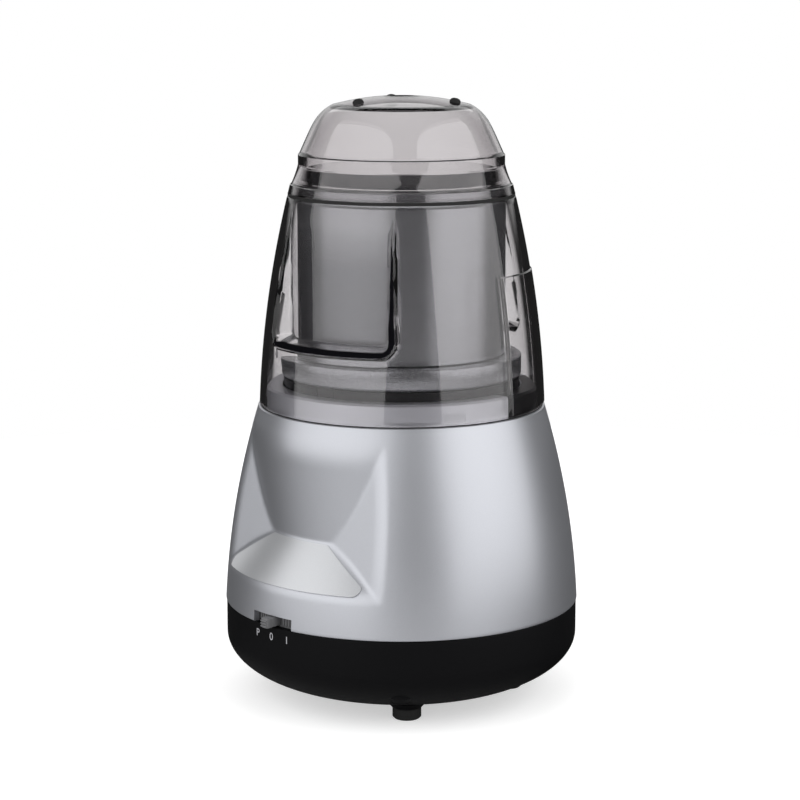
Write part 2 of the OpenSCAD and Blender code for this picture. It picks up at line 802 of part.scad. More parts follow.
module armature_windings() {
    slots = 12;
    end_h = winding_end_h;
    core_gap = 0.2;
    color([0.7, 0.38, 0.18])
    difference() {
        union() {
            revolve([[shaft_r, armature_z - end_h], [armature_r - 6, armature_z - end_h],
                     [armature_r - 2, armature_z - end_h / 2], [armature_r - 2, armature_z - core_gap],
                     [shaft_r, armature_z - core_gap]]);
            revolve([[shaft_r, armature_top_z + core_gap], [armature_r - 2, armature_top_z + core_gap],
                     [armature_r - 2, armature_top_z + end_h / 2], [armature_r - 6, armature_top_z + end_h],
                     [shaft_r, armature_top_z + end_h]]);
            for (i = [0:slots - 1]) at(360 / slots * i, armature_r - 2.6)
                block(1.5, 2, armature_z - 1, armature_top_z + 1);
        }
        rod(shaft_r, armature_z - 10, armature_top_z + 10);
    }
}

module commutator() {
    bars = 18;
    color([0.75, 0.45, 0.25])
    difference() {
        rod(commutator_r, commutator_z, commutator_top_z);
        rod(shaft_r, commutator_z - 1, armature_z);
        for (i = [0:bars - 1]) at(360 / bars * i, commutator_r)
            block(0.5, 1.4, commutator_z - 1, armature_z);
    }
}

module cooling_fan() {
    vanes = 9;
    vane_t = 1.6;
    vane_lift = 0.5;
    disc_h = 1.6;
    hub_r = 7;
    color([0.2, 0.2, 0.22])
    difference() {
        union() {
            rod(hub_r, fan_z, fan_z + fan_h);
            rod(fan_r, fan_z + fan_h - disc_h, fan_z + fan_h);
            for (i = [0:vanes - 1]) rotate([0, 0, 360 / vanes * i])
                translate([-vane_t / 2, -fan_r + 0.5, fan_z + vane_lift])
                    cube([vane_t, fan_r - hub_r + 1, fan_h - vane_lift - disc_h / 2]);
        }
        rod(shaft_r, fan_z - 1, fan_z + fan_h + 1);
    }
}

// A coupling half: a disc with two dogs on one face
module coupling(disc_z, dog_z0, dog_z1, az) {
    difference() {
        union() {
            rod(coupling_r, disc_z, disc_z + disc_t);
            for (turn = [0, 180])
                sector(coupling_r - dog_l, coupling_r - dog_step, dog_z0, dog_z1, az + turn, dog_width);
        }
        rod(shaft_r, disc_z - 1, disc_z + disc_t + 1);
    }
}

module drive_coupling() {
    color([0.85, 0.85, 0.83])
    coupling(drive_z, drive_z + disc_t / 2, drive_z + disc_t + dog_h, 0);
}

// Rubber ring in the deck's shaft hole, which keeps spills out of the motor
module deck_seal() {
    color([0.1, 0.1, 0.1])
    difference() {
        union() {
            rod(shaft_hole_r - push_gap, well_z - wall, well_z + 1);
            rod(shaft_hole_r + 1.6, well_z, well_z + 1.2);
        }
        rod(shaft_r + hand_gap, well_z - wall - 1, well_z + 3);
    }
}

// Interlock: the lock ring's ramp pushes a sprung pin down onto a switch

tab_az = thirds(jar_az);
tab_width = 9;
tab_h = 4.4;
pin_top_z = groove_z + 2.6;
pin_flange_z = groove_z - deck_t - guide_h - hand_gap - 1.4;
pin_low_z = pin_flange_z - 9;
micro_z1 = pin_low_z - pin_travel - hand_gap;
micro_w = 20;
micro_h = 10;
micro_t = 6.4;
micro_hole_x = 7.5;
micro_hole_r = 1.2;
micro_hole_z = micro_z1 - 4;
micro_y = bracket_face - micro_t / 2;

module lock_ring() {
    half = lock_turn / 2;
    run = pin_ring_r * lock_turn * PI / 180;
    ramp = atan2(pin_travel, run);
    over = 4;
    mid_z = pin_top_z + 0.5 - pin_travel / 2;
    color([0.06, 0.06, 0.065])
    difference() {
        ring(ring_r - ring_w, ring_r, ring_z, ring_top_z);
        for (az = tab_az) sector(ring_r - ring_w - 1, ring_r + 1, collar_z - tab_h - hand_gap,
                                 ring_top_z + 1, az, tab_width + 1);
        at(pin_az + half, pin_ring_r, mid_z) rotate([0, ramp, 0])
            translate([-run / 2 - over, -ring_w, -big]) cube([run + 2 * over, 2 * ring_w, big]);
    }
}

module interlock_pin() {
    color([0.9, 0.9, 0.88])
    at(pin_az, pin_ring_r) union() {
        rod(pin_r, pin_low_z, pin_top_z - pin_r);
        translate([0, 0, pin_top_z - pin_r]) sphere(r = pin_r);
        rod(pin_r + 1.4, pin_flange_z, pin_flange_z + 1.4);
    }
}

// Return spring of the interlock pin: a round wire wound in a helix, one solid tube
spring_turns = 5;
spring_wire_r = 0.35;
spring_mean_r = pin_r + 0.95;
spring_z0 = micro_z1 + spring_wire_r + 0.1;
spring_z1 = pin_flange_z - spring_wire_r - 0.1;
spring_rings = 60;
spring_sides = 6;
function spring_point(i, k) =
    let (turn = 360 * spring_turns * i / spring_rings, a = 360 * k / spring_sides,
         r = spring_mean_r + spring_wire_r * cos(a))
    [r * cos(turn), r * sin(turn),
     spring_z0 + (spring_z1 - spring_z0) * i / spring_rings + spring_wire_r * sin(a)];
echo(spring_least_gap = (spring_z1 - spring_z0) / spring_turns - 2 * spring_wire_r);

module interlock_spring() {
    n = spring_sides;
    last = spring_rings * n;
    points = [for (i = [0:spring_rings]) for (k = [0:n - 1]) spring_point(i, k)];
    sides = [for (i = [0:spring_rings - 1]) for (k = [0:n - 1]) let (j = (k + 1) % n)
        each [[i * n + k, (i + 1) * n + k, (i + 1) * n + j], [i * n + k, (i + 1) * n + j, i * n + j]]];
    caps = [for (k = [1:n - 2]) each [[0, k, k + 1], [last, last + k + 1, last + k]]];
    color([0.75, 0.75, 0.77])
    at(pin_az, pin_ring_r) polyhedron(points = points, faces = concat(sides, caps));
}

module interlock_switch() {
    color([0.2, 0.2, 0.22])
    at(pin_az, pin_ring_r) {
        difference() {
            union() {
                translate([0, micro_y, 0]) block(micro_w, micro_t, micro_z1 - micro_h, micro_z1);
                for (x = [-7, 0, 7]) translate([x, micro_y, 0])
                    block(0.8, 3, micro_z1 - micro_h - 4, micro_z1 - 1);
            }
            for (x = [-micro_hole_x, micro_hole_x]) translate([x, 2 * micro_t, micro_hole_z])
                rotate([90, 0, 0]) cylinder(r = micro_hole_r, h = 4 * micro_t);
        }
    }
}

// Bracket that hangs the interlock switch below the deck
module interlock_bracket() {
    top = groove_z - deck_t;
    color([0.68, 0.69, 0.7])
    at(pin_az, pin_ring_r) union() {
        translate([-micro_w / 2, bracket_face, micro_z1 - micro_h])
            cube([micro_w, bracket_t, top - micro_z1 + micro_h]);
        for (x = [-micro_hole_x, micro_hole_x]) translate([x, bracket_face + 1, micro_hole_z])
            rotate([90, 0, 0]) cylinder(r = micro_hole_r - push_gap, h = micro_t + 1.6);
    }
}

// Jar: the bowl, its collar, the smoked cover and the seals

bowl_z = collar_z + 6.4;
bowl_floor_z = bowl_z + bowl_floor_t;
flange_t = 0.8;
flange_r = cover_in_top + 1;
bush_r = 5.5;
hub_r = 10;
driven_z = drive_z + disc_t + dog_h + 1;
washer_t = 1.05;
hub_z = driven_z + disc_t + washer_t + 0.25;
hub_top_z = bowl_floor_z + 7.8;
collar_screw_in = 6.7;
collar_screw_ring = bowl_r - collar_screw_in;
collar_head_r = 2.8;
collar_head_h = 1.8;
collar_t = 2;

module bowl() {
    fillet = 6;
    in_r = bowl_r - bowl_t;
    color([0.5, 0.51, 0.52])
    difference() {
        union() {
            revolve(concat(
                [[0, bowl_z], [bowl_r - 2.5, bowl_z], [bowl_r, bowl_z + 2.5],
                 [bowl_r, cover_top_z - flange_t - 1.2], [cover_in_top - 0.5, cover_top_z - flange_t],
                 [flange_r, cover_top_z - flange_t],
                 [flange_r, cover_top_z], [bowl_r, cover_top_z], [bowl_r, rim_z], [in_r, rim_z]],
                [for (i = [0:6]) let (a = 15 * i)
                    [in_r - fillet + fillet * cos(a), bowl_floor_z + fillet - fillet * sin(a)]],
                [[0, bowl_floor_z]]
            ));
            rod(hub_r, hub_z, hub_top_z);
            for (az = lug_az) at(az, collar_screw_ring)
                rod(3.4, collar_z + collar_t, bowl_z + 1);
        }
        rod(bush_r, hub_z - 1, hub_top_z + 1);
        for (az = lug_az) at(az, collar_screw_ring)
            rod(pilot_r, collar_z, bowl_z + 1.2);
    }
}

module bowl_collar() {
    color([0.62, 0.63, 0.64])
    difference() {
        union() {
            revolve([[bowl_r + push_gap, collar_z], [collar_r - 1.5, collar_z], [collar_r, collar_z + 1.5],
                     [collar_r, collar_z + collar_h - 2], [collar_r - 2, collar_z + collar_h],
                     [bowl_r + push_gap, collar_z + collar_h]]);
            ring(collar_screw_ring - 5, bowl_r + 1, collar_z, collar_z + collar_t);
            for (az = tab_az) sector(ring_r - ring_w + 0.4, ring_r - 0.4, collar_z - tab_h, collar_z + 1,
                                     az, tab_width);
        }
        for (az = lug_az) at(az, collar_screw_ring) {
            rod(screw_hole_r, collar_z - 1, collar_z + collar_t + 1);
        }
    }
}

module collar_screws() {
    color([0.6, 0.6, 0.62])
    for (az = lug_az) at(az, collar_screw_ring) {
        rod(shank_r, collar_z - 0.5, bowl_z + 0.9);
        rod(collar_head_r, collar_z - collar_head_h, collar_z);
    }
}

// Outline of a grip recess, seen from the front: a slot with round lower corners, open upwards
module grip_outline(grow) {
    half = grip_half_w + grow;
    low = cover_z + grip_z - grow;
    r = grip_corner + grow;
    translate([-half, low + r]) square([2 * half, cover_h]);
    translate([-half + r, low]) square([2 * (half - r), cover_h]);
    for (side = [-1, 1]) translate([side * (half - r), low + r]) circle(r = r);
}

// The front and rear grips, cut down to a round floor
module grips(grow) {
    for (turn = [0, 180]) rotate([0, 0, jar_az + turn]) difference() {
        rotate([90, 0, 0]) linear_extrude(height = base_r + 10) grip_outline(grow);
        rod(grip_r - grow, cover_z, big);
    }
}

module cover_solid(inset, low, high) {
    revolve(concat([[0, low]], [for (z = spread(low, high)) [cover_side(z) - inset, z]], [[0, high]]));
}

module cover() {
    color([0.55, 0.53, 0.54, 0.45])
    union() {
        difference() {
            cover_solid(0, cover_z, cover_top_z);
            grips(0);
            difference() {
                union() {
                    cover_solid(cover_t, cover_z - 1, cover_top_z + 1);
                    rod(flange_r + push_gap, cover_top_z - flange_t, cover_top_z + 1);
                }
                grips(cover_t);
            }
        }
        for (az = lug_az) intersection() {
            sector(neck_r - lug_depth, neck_r + 3, lug_z, lug_z + lug_h, az, lug_width);
            cover_solid(cover_t / 2, cover_z, cover_top_z);
        }
    }
}

// Black ring between the cover's top edge and the cap
module seat_seal() {
    color([0.05, 0.05, 0.05])
    ring(bowl_r + 0.6, cover_side(cover_top_z) - 0.2, cover_top_z, cover_top_z + seat_seal_t);
}

// Tapered black seal on the bowl's rim, inside the cap
rim_seal_h = 6;
module rim_seal() {
    clear = cap_t + 0.4;
    color([0.05, 0.05, 0.05])
    revolve([[bowl_r - 3.5, rim_z], [cap_flare_r(rim_z) - clear, rim_z],
             [cap_flare_r(rim_z + rim_seal_h / 2) - clear, rim_z + rim_seal_h / 2],
             [cap_flare_r(rim_z + rim_seal_h) - clear, rim_z + rim_seal_h],
             [bowl_r - 3.5, rim_z + rim_seal_h]]);
}

module shaft_bush() {
    color([0.7, 0.55, 0.3])
    ring(shaft_r + run_gap, bush_r - run_gap, hub_z, hub_top_z);
}

module shaft_seal() {
    color([0.1, 0.1, 0.1])
    revolve([[shaft_r + 0.15, hub_top_z], [hub_r - 2, hub_top_z], [hub_r - 2, hub_top_z + 0.8],
             [shaft_r + 1.5, hub_top_z + 1.8], [shaft_r + 0.15, hub_top_z + 1.8]]);
}

// Blade body: the driven coupling, the shaft, the blade and its nut

blade_z = hub_top_z + 3.2;
nut_h = 4.5;

module driven_coupling() {
    color([0.85, 0.85, 0.83])
    coupling(driven_z, driven_z - dog_h, driven_z + disc_t / 2, 90);
}

module thrust_washer() {
    color([0.8, 0.8, 0.78])
    ring(shaft_r, bush_r + 2, driven_z + disc_t, driven_z + disc_t + washer_t);
}

module blade_shaft() {
    color([0.75, 0.75, 0.77])
    rod(shaft_r, driven_z, blade_z + blade_t + nut_h - 0.8);
}

module blade_spacer() {
    color([0.75, 0.75, 0.77])
    ring(shaft_r, 6, hub_top_z + 2.1, blade_z);
}

// Two arms of opposite bend, ground to an edge at the front
module blade() {
    bend_r = 14;
    bends = [-20, 6];
    root = blade_w / 2 - 0.2;
    color([0.8, 0.81, 0.82])
    difference() {
        union() {
            rod(blade_w * 0.62, blade_z, blade_z + blade_t);
            for (arm = [0, 1]) rotate([0, 0, 180 * arm]) {
                translate([0, -blade_w / 2, blade_z]) cube([bend_r, blade_w, blade_t]);
                translate([bend_r - 0.6, 0, blade_z + 0.1]) rotate([0, bends[arm], 0])
                    linear_extrude(height = blade_t - 0.2) polygon([
                        [0, -root], [blade_r - bend_r - 6, -root + 1.5], [blade_r - bend_r, root - 3],
                        [blade_r - bend_r - 2, root], [0, root]]);
            }
        }
        rod(shaft_r, blade_z - 5, blade_z + 10);
    }
}

module blade_nut() {
    color([0.78, 0.79, 0.8])
    difference() {
        union() {
            translate([0, 0, blade_z + blade_t]) cylinder(r = 6.2, h = nut_h - 1.5, $fn = 6);
            translate([0, 0, blade_z + blade_t + nut_h - 1.7]) cylinder(r1 = 4.8, r2 = 3, h = 1.7);
        }
        rod(shaft_r, blade_z, blade_z + blade_t + nut_h - 0.8);
    }
}

// Cap: a smoked dome that pushes onto the rim seal, with three nubs to stand on when it is upturned

cap_foot_r = cover_side(cap_z);
cap_flare_z = cap_z + cap_band_h;
cap_upright_z = cap_z + cap_band_z;
cap_upright_h = 4.2;
cap_dome_z = cap_upright_z + cap_upright_h;
cap_dome_r = cap_band_r - 0.5;
cap_crease_z = cap_top_z - cap_crease_drop;
cap_flare_top = cover_side(cap_flare_z) - 0.4;
// Radius of the cap's concave flare between the rim band and the upright band
function cap_flare_r(z) = let (t = (z - cap_flare_z) / (cap_upright_z - cap_flare_z))
    cap_flare_top + (cap_band_r - cap_flare_top) * (t + 0.35 * t * (1 - t));
// Radius of the dome between the upright band and the crease, fuller towards the top
function cap_dome_side(z) = let (t = (z - cap_dome_z) / (cap_crease_z - cap_dome_z))
    cap_dome_r + (cap_crease_r - cap_dome_r) * (0.66 * t + 0.34 * pow(t, 6));
// Height of the crown over radius r
function crown_z(r) = cap_top_z - cap_crease_drop * pow(r / cap_crease_r, 2);

function cap_outside() = concat(
    [[cap_foot_r, cap_z], [cover_side(cap_flare_z), cap_flare_z]],
    [for (z = spread(cap_flare_z, cap_upright_z)) [cap_flare_r(z), z]],
    [for (z = spread(cap_dome_z, cap_crease_z)) [cap_dome_side(z), z]],
    [for (r = spread(cap_crease_r - 0.6, dimple_r)) [r, crown_z(r)]],
    [[dimple_r - 0.6, crown_z(dimple_r) - 0.5], [0, crown_z(dimple_r) - 0.7]]
);
function cap_inside() = concat(
    [[cap_foot_r - cap_t, cap_z - 1], [cap_foot_r - cap_t, cap_z], [cap_flare_top - cap_t, cap_flare_z]],
    [for (z = spread(cap_flare_z + 0.5, cap_upright_z)) [cap_flare_r(z) - cap_t, z]],
    [for (z = spread(cap_dome_z, cap_crease_z - cap_t)) [cap_dome_side(z) - cap_t, z]],
    [for (r = spread(cap_crease_r - 2, dimple_r)) [r, crown_z(r) - cap_t]],
    [[0, crown_z(dimple_r) - cap_t - 0.5], [0, cap_z - 1]]
);

module cap() {
    color([0.6, 0.57, 0.58, 0.45])
    difference() {
        revolve(concat(cap_outside(), [[0, cap_z]]));
        revolve(cap_inside());
        for (az = thirds(nub_az)) at(az, nub_ring_r)
            rod(nub_r - 0.6 + push_gap, crown_z(nub_ring_r) - cap_t + 0.6, cap_top_z + 1);
    }
}

module cap_nubs() {
    color([0.04, 0.04, 0.04])
    for (az = thirds(nub_az)) at(az, nub_ring_r) union() {
        rod(nub_r - 0.6, crown_z(nub_ring_r) - cap_t + 0.6, crown_z(nub_ring_r) + 0.6);
        intersection() {
            translate([0, 0, crown_z(nub_ring_r) + 0.2]) sphere(r = nub_r);
            rod(nub_r + 1, crown_z(nub_ring_r) + 0.45, cap_top_z + 5);
        }
    }
}

base_housing();
base_pan();
label_plate();
rubber_feet();
housing_screws();
cord_gland();
switch_slide();
switch_body();
switch_screws();
stator_core();
field_coils();
top_bracket();
low_bracket();
motor_bolts();
motor_nuts();
top_bearing();
low_bearing();
motor_isolators();
motor_screws();
brush_holders();
carbon_brushes();
brush_springs();
motor_shaft();
armature_core();
armature_windings();
commutator();
cooling_fan();
drive_coupling();
deck_seal();
lock_ring();
interlock_pin();
interlock_spring();
interlock_switch();
interlock_bracket();
bowl();
bowl_collar();
collar_screws();
cover();
seat_seal();
rim_seal();
shaft_bush();
shaft_seal();
driven_coupling();
thrust_washer();
blade_shaft();
blade_spacer();
blade();
blade_nut();
cap();
cap_nubs();
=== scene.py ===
"""Looks of an electric grinder: silver motor base, grey bowl under a smoked cover, smoked domed cap.

Sizes are in millimetres in the part's own frame, with the front at -Y, and azimuths are in degrees from the
front, positive towards +X. A mesh is shaped in millimetres and brought to metres when it becomes a piece.
"""
import logging
import math
from dataclasses import dataclass
from enum import Enum
from typing import Callable, Iterable, Mapping, Sequence

import bmesh
import bpy
from mathutils import Matrix, Vector


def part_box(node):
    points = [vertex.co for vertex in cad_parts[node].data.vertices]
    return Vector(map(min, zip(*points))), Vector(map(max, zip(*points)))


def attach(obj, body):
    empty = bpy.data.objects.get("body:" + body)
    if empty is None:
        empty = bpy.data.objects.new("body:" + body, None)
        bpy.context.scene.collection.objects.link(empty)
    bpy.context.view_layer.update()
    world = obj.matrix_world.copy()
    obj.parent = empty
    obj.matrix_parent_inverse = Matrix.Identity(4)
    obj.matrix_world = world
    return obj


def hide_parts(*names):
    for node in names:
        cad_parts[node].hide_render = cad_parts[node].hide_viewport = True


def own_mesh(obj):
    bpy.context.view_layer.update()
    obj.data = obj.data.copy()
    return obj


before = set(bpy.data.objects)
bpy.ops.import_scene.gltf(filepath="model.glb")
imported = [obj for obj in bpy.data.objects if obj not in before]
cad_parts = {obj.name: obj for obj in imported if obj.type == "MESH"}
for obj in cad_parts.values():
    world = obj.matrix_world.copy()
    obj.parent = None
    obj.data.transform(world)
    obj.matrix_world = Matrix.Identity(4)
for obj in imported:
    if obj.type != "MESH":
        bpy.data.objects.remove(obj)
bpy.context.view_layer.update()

MM = 0.001
WELD = 0.002
LOG = logging.getLogger("grinder")

Point = tuple[float, float]
Colour = tuple[float, float, float]
CLEAR: Colour = (1.0, 1.0, 1.0)


class Body(Enum):
    """Bodies of the frame that pieces ride on."""

    BASE = "base"
    SWITCH = "switch"
    JAR = "jar"
    CAP = "cap"


@dataclass(frozen=True)
class Marks:
    """Marks that the working of a metal leaves, as a cloudy pattern."""

    scale: float
    detail: float
    depth: float
    stretch: tuple[float, float, float] = (1.0, 1.0, 1.0)
    contrast: float = 0.14


class Grain(Enum):
    """Ways in which a metal's surface is worked."""

    BRUSHED_ROUND = Marks(14.0, 1.0, 0.0000001, (1.0, 1.0, 70.0), 0.012)
    CAST = Marks(900.0, 4.0, 0.00004)
    PLATED = Marks(250.0, 2.0, 0.000001)
    STACKED = Marks(12.0, 1.0, 0.00003, (0.2, 0.2, 170.0))
    WOUND = Marks(30.0, 1.0, 0.0001, (1.0, 1.0, 45.0))


def unit_step(value: float) -> float:
    """Smooth step of a value that runs from 0 to 1."""
    clamped = min(max(value, 0.0), 1.0)
    return clamped * clamped * (3.0 - 2.0 * clamped)


def soft_min(a: float, b: float, width: float) -> float:
    """Least of two values, with their meeting rounded.

    Args:
        a: First value.
        b: Second value.
        width: Difference within which the two are blended.

    Returns:
        The blended least value.
    """
    share = max(width - abs(a - b), 0.0) / width
    return min(a, b) - share * share * width / 4.0


def soft_max(a: float, b: float, width: float) -> float:
    """Greatest of two values, with their meeting rounded over a width."""
    return -soft_min(-a, -b, width)


def spread(start: float, end: float, gap: float) -> list[float]:
    """Evenly spaced values from start to end.

    Args:
        start: First value.
        end: Last value.
        gap: Largest step between two values.

    Returns:
        The values, both ends among them.
    """
    count = max(1, math.ceil(abs(end - start) / gap))
    return [start + (end - start) * i / count for i in range(count + 1)]


def arc(centre: Point, radius: float, start: float, end: float, count: int = 5) -> list[Point]:
    """Points of a round stretch of an outline.

    Args:
        centre: Radius and height of the arc's centre.
        radius: Radius of the arc.
        start: Angle of the first point, from straight outwards.
        end: Angle of the last point.
        count: Number of steps.

    Returns:
        The points of the arc.
    """
    angles = [math.radians(start + (end - start) * i / count) for i in range(count + 1)]
    return [(centre[0] + radius * math.cos(a), centre[1] + radius * math.sin(a)) for a in angles]


@dataclass(frozen=True)
class SwollenCone:
    """Side of a round body: a cone whose side swells at half height."""

    low: float
    low_radius: float
    high: float
    high_radius: float
    swell: float

    def radius(self, height: "float | Value") -> "float | Value":
        """Radius of the side at a height, which may be a value in a shader."""
        t = (height - self.low) / (self.high - self.low)
        return self.low_radius + (self.high_radius - self.low_radius) * t + 4 * self.swell * t * (1 - t)


# Shading


class Value:
    """A number in a shader, with the arithmetic that patterns are written in."""

    def __init__(self, shader: "Shader", socket: bpy.types.NodeSocket) -> None:
        """Wrap a socket of a shader's tree."""
        self.shader = shader
        self.socket = socket

    def _math(self, operation: str, *terms: "Value | float") -> "Value":
        """Add a Math node on some terms."""
        node = self.shader.node("ShaderNodeMath", {"operation": operation}, dict(enumerate(terms)))
        return Value(self.shader, node.outputs[0])

    def __add__(self, other: "Value | float") -> "Value":
        """Sum of two values."""
        return self._math("ADD", self, other)

    __radd__ = __add__

    def __sub__(self, other: "Value | float") -> "Value":
        """Difference of two values."""
        return self._math("SUBTRACT", self, other)

    def __rsub__(self, other: float) -> "Value":
        """Difference of a number and this value."""
        return self._math("SUBTRACT", other, self)

    def __mul__(self, other: "Value | float") -> "Value":
        """Product of two values."""
        return self._math("MULTIPLY", self, other)

    __rmul__ = __mul__

    def __truediv__(self, other: "Value | float") -> "Value":
        """Quotient of two values."""
        return self._math("DIVIDE", self, other)

    def __pow__(self, other: float) -> "Value":
        """This value raised to a power."""
        return self._math("POWER", self, other)

    def cosine(self) -> "Value":
        """Cosine of this value."""
        return self._math("COSINE", self)

    def angle_over(self, other: "Value") -> "Value":
        """Angle whose tangent is this value over another."""
        return self._math("ARCTAN2", self, other)

    def most(self, other: "Value | float") -> "Value":
        """Greater of two values."""
        return self._math("MAXIMUM", self, other)

    def least(self, other: "Value | float") -> "Value":
        """Lesser of two values."""
        return self._math("MINIMUM", self, other)

    def share(self) -> "Value":
        """This value kept between 0 and 1."""
        return self.most(0.0).least(1.0)


class Shader:
    """Node tree of a material or of the surroundings."""

    def __init__(self, owner: bpy.types.Material | bpy.types.World) -> None:
        """Start an empty tree."""
        owner.use_nodes = True
        self.tree = owner.node_tree
        self.tree.nodes.clear()

    def node(self, kind: str, settings: Mapping | None = None,
             inputs: Mapping | None = None) -> bpy.types.Node:
        """Add a node.

        Args:
            kind: Type of the node.
            settings: Properties that are set first.
            inputs: Values or links of its sockets, by name or number.

        Returns:
            The new node.
        """
        node = self.tree.nodes.new(kind)
        for key, value in (settings or {}).items():
            setattr(node, key, value)
        for key, value in (inputs or {}).items():
            if isinstance(value, Value):
                value = value.socket
            if isinstance(value, bpy.types.NodeSocket):
                self.tree.links.new(value, node.inputs[key])
            else:
                node.inputs[key].default_value = value
        return node

    def place(self, scale: Sequence[float] = (1.0, 1.0, 1.0)) -> bpy.types.NodeSocket:
        """Object coordinates of a point, in metres, stretched along each axis."""
        point = self.node("ShaderNodeTexCoord").outputs["Object"]
        return self.node("ShaderNodeMapping", None, {"Vector": point, "Scale": scale}).outputs["Vector"]

    def noise(self, scale: float, detail: float = 2.0, stretch: Sequence[float] = (1.0, 1.0, 1.0)) -> Value:
        """Cloudy pattern from 0 to 1.

        Args:
            scale: Clouds in a metre.
            detail: Octaves of finer clouds.
            stretch: Scale along each axis.

        Returns:
            The pattern's value.
        """
        inputs = {"Vector": self.place(stretch), "Scale": scale, "Detail": detail}
        return Value(self, self.node("ShaderNodeTexNoise", None, inputs).outputs[0])

    def mix(self, share: Value, first: Colour, second: Colour) -> bpy.types.NodeSocket:
        """Colour between two colours.

        Args:
            share: Share of the second colour.
            first: Colour at 0.
            second: Colour at 1.

        Returns:
            The mixed colour's socket.
        """
        settings = {"data_type": "RGBA", "clamp_factor": True}
        node = self.node("ShaderNodeMix", settings, {0: share, 6: (*first, 1.0), 7: (*second, 1.0)})
        return node.outputs[2]

    def bump(self, height: Value, distance: float) -> bpy.types.NodeSocket:
        """Normal of a surface that a pattern raises by up to a distance in metres."""
        node = self.node("ShaderNodeBump", None, {"Strength": 1.0, "Distance": distance, "Height": height})
        return node.outputs[0]

    def ray(self, kind: str) -> Value:
        """One of the Light Path's outputs."""
        return Value(self, self.node("ShaderNodeLightPath").outputs[kind])

    def principled(self, inputs: Mapping) -> bpy.types.NodeSocket:
        """Surface shader with the given sockets."""
        return self.node("ShaderNodeBsdfPrincipled", None, inputs).outputs[0]

    def output(self, surface: bpy.types.NodeSocket, volume: bpy.types.NodeSocket | None = None) -> None:
        """End the tree in a surface and, where there is one, a volume."""
        inputs = {"Surface": surface}
        if volume is not None:
            inputs["Volume"] = volume
        self.node("ShaderNodeOutputMaterial", None, inputs)


def shade_of(colour: Colour, factor: float) -> Colour:
    """A colour made lighter or darker by a factor."""
    return (colour[0] * factor, colour[1] * factor, colour[2] * factor)


@dataclass(frozen=True)
class Finish:
    """A surface finish that becomes one material."""

    name: str

    def material(self) -> bpy.types.Material:
        """The finish's material, made on its first use."""
        found = bpy.data.materials.get(self.name)
        if found is None:
            found = bpy.data.materials.new(self.name)
            self.shade(Shader(found))
        return found

    def shade(self, shader: Shader) -> None:
        """Fill a shader's tree with the finish."""
        raise NotImplementedError


@dataclass(frozen=True)
class MouldedPlastic(Finish):
    """Opaque plastic or rubber with a fine moulded grain and a faint unevenness."""

    colour: Colour
    roughness: float
    grain: float = 2600.0
    grain_depth: float = 0.00001
    gloss: float = 0.5
    cloud: float = 60.0

    def shade(self, shader: Shader) -> None:
        """Fill a shader's tree with the plastic.

        Args:
            shader: Shader of the new material.
        """
        grain = shader.noise(self.grain, 3.0)
        cloud = shader.noise(self.cloud)
        surface = shader.principled({
            "Base Color": shader.mix(cloud, shade_of(self.colour, 0.9), shade_of(self.colour, 1.1)),
            "Roughness": self.roughness - 0.05 + cloud * 0.06 + grain * 0.04,
            "Specular IOR Level": self.gloss,
            "Normal": shader.bump(grain, self.grain_depth),
        })
        shader.output(surface)


@dataclass(frozen=True)
class FlakePaint(Finish):
    """Silver paint: fine metal flake under a thin clear coat."""

    colour: Colour
    roughness: float
    metal: float
    coat: float = 0.25
    coat_roughness: float = 0.18
    flake: float = 3800.0
    flake_depth: float = 0.000004
    cloud: float = 35.0

    def shade(self, shader: Shader) -> None:
        """Fill a shader's tree with the paint.

        Args:
            shader: Shader of the new material.
        """
        flake = shader.noise(self.flake)
        cloud = shader.noise(self.cloud)
        share = flake * 0.8 + cloud * 0.2
        surface = shader.principled({
            "Base Color": shader.mix(share, shade_of(self.colour, 0.9), shade_of(self.colour, 1.1)),
            "Metallic": self.metal,
            "Roughness": self.roughness - 0.04 + flake * 0.06 + cloud * 0.02,
            "Coat Weight": self.coat,
            "Coat Roughness": self.coat_roughness,
            "Normal": shader.bump(flake, self.flake_depth),
        })
        shader.output(surface)


@dataclass(frozen=True)
class SmokedPlastic(Finish):
    """Clear plastic that darkens light with the length of its way through it."""

    absorbs: Colour
    density: float
    roughness: float = 0.02
    index: float = 1.49

    def clear(self, shader: Shader, tint: bpy.types.NodeSocket | Sequence[float]) -> bpy.types.NodeSocket:
        """Clear surface that lets shadow rays through.

        Args:
            shader: Shader whose tree it goes into.
            tint: Colour of the light that passes.

        Returns:
            The surface's socket.
        """
        clear = shader.principled({
            "Base Color": tint,
            "Roughness": self.roughness,
            "IOR": self.index,
            "Transmission Weight": 1.0,
        })
        open_way = shader.node("ShaderNodeBsdfTransparent").outputs[0]
        shadow = shader.ray("Is Shadow Ray")
        return shader.node("ShaderNodeMixShader", None, {0: shadow, 1: clear, 2: open_way}).outputs[0]

    def surface(self, shader: Shader) -> bpy.types.NodeSocket:
        """Clear surface without a tint."""
        return self.clear(shader, (*CLEAR, 1.0))

    def shade(self, shader: Shader) -> None:
        """Fill a shader's tree with the plastic and the smoke in it.

        Args:
            shader: Shader of the new material.
        """
        smoke = {"Color": (*self.absorbs, 1.0), "Density": self.density}
        volume = shader.node("ShaderNodeVolumeAbsorption", None, smoke).outputs[0]
        shader.output(self.surface(shader), volume)


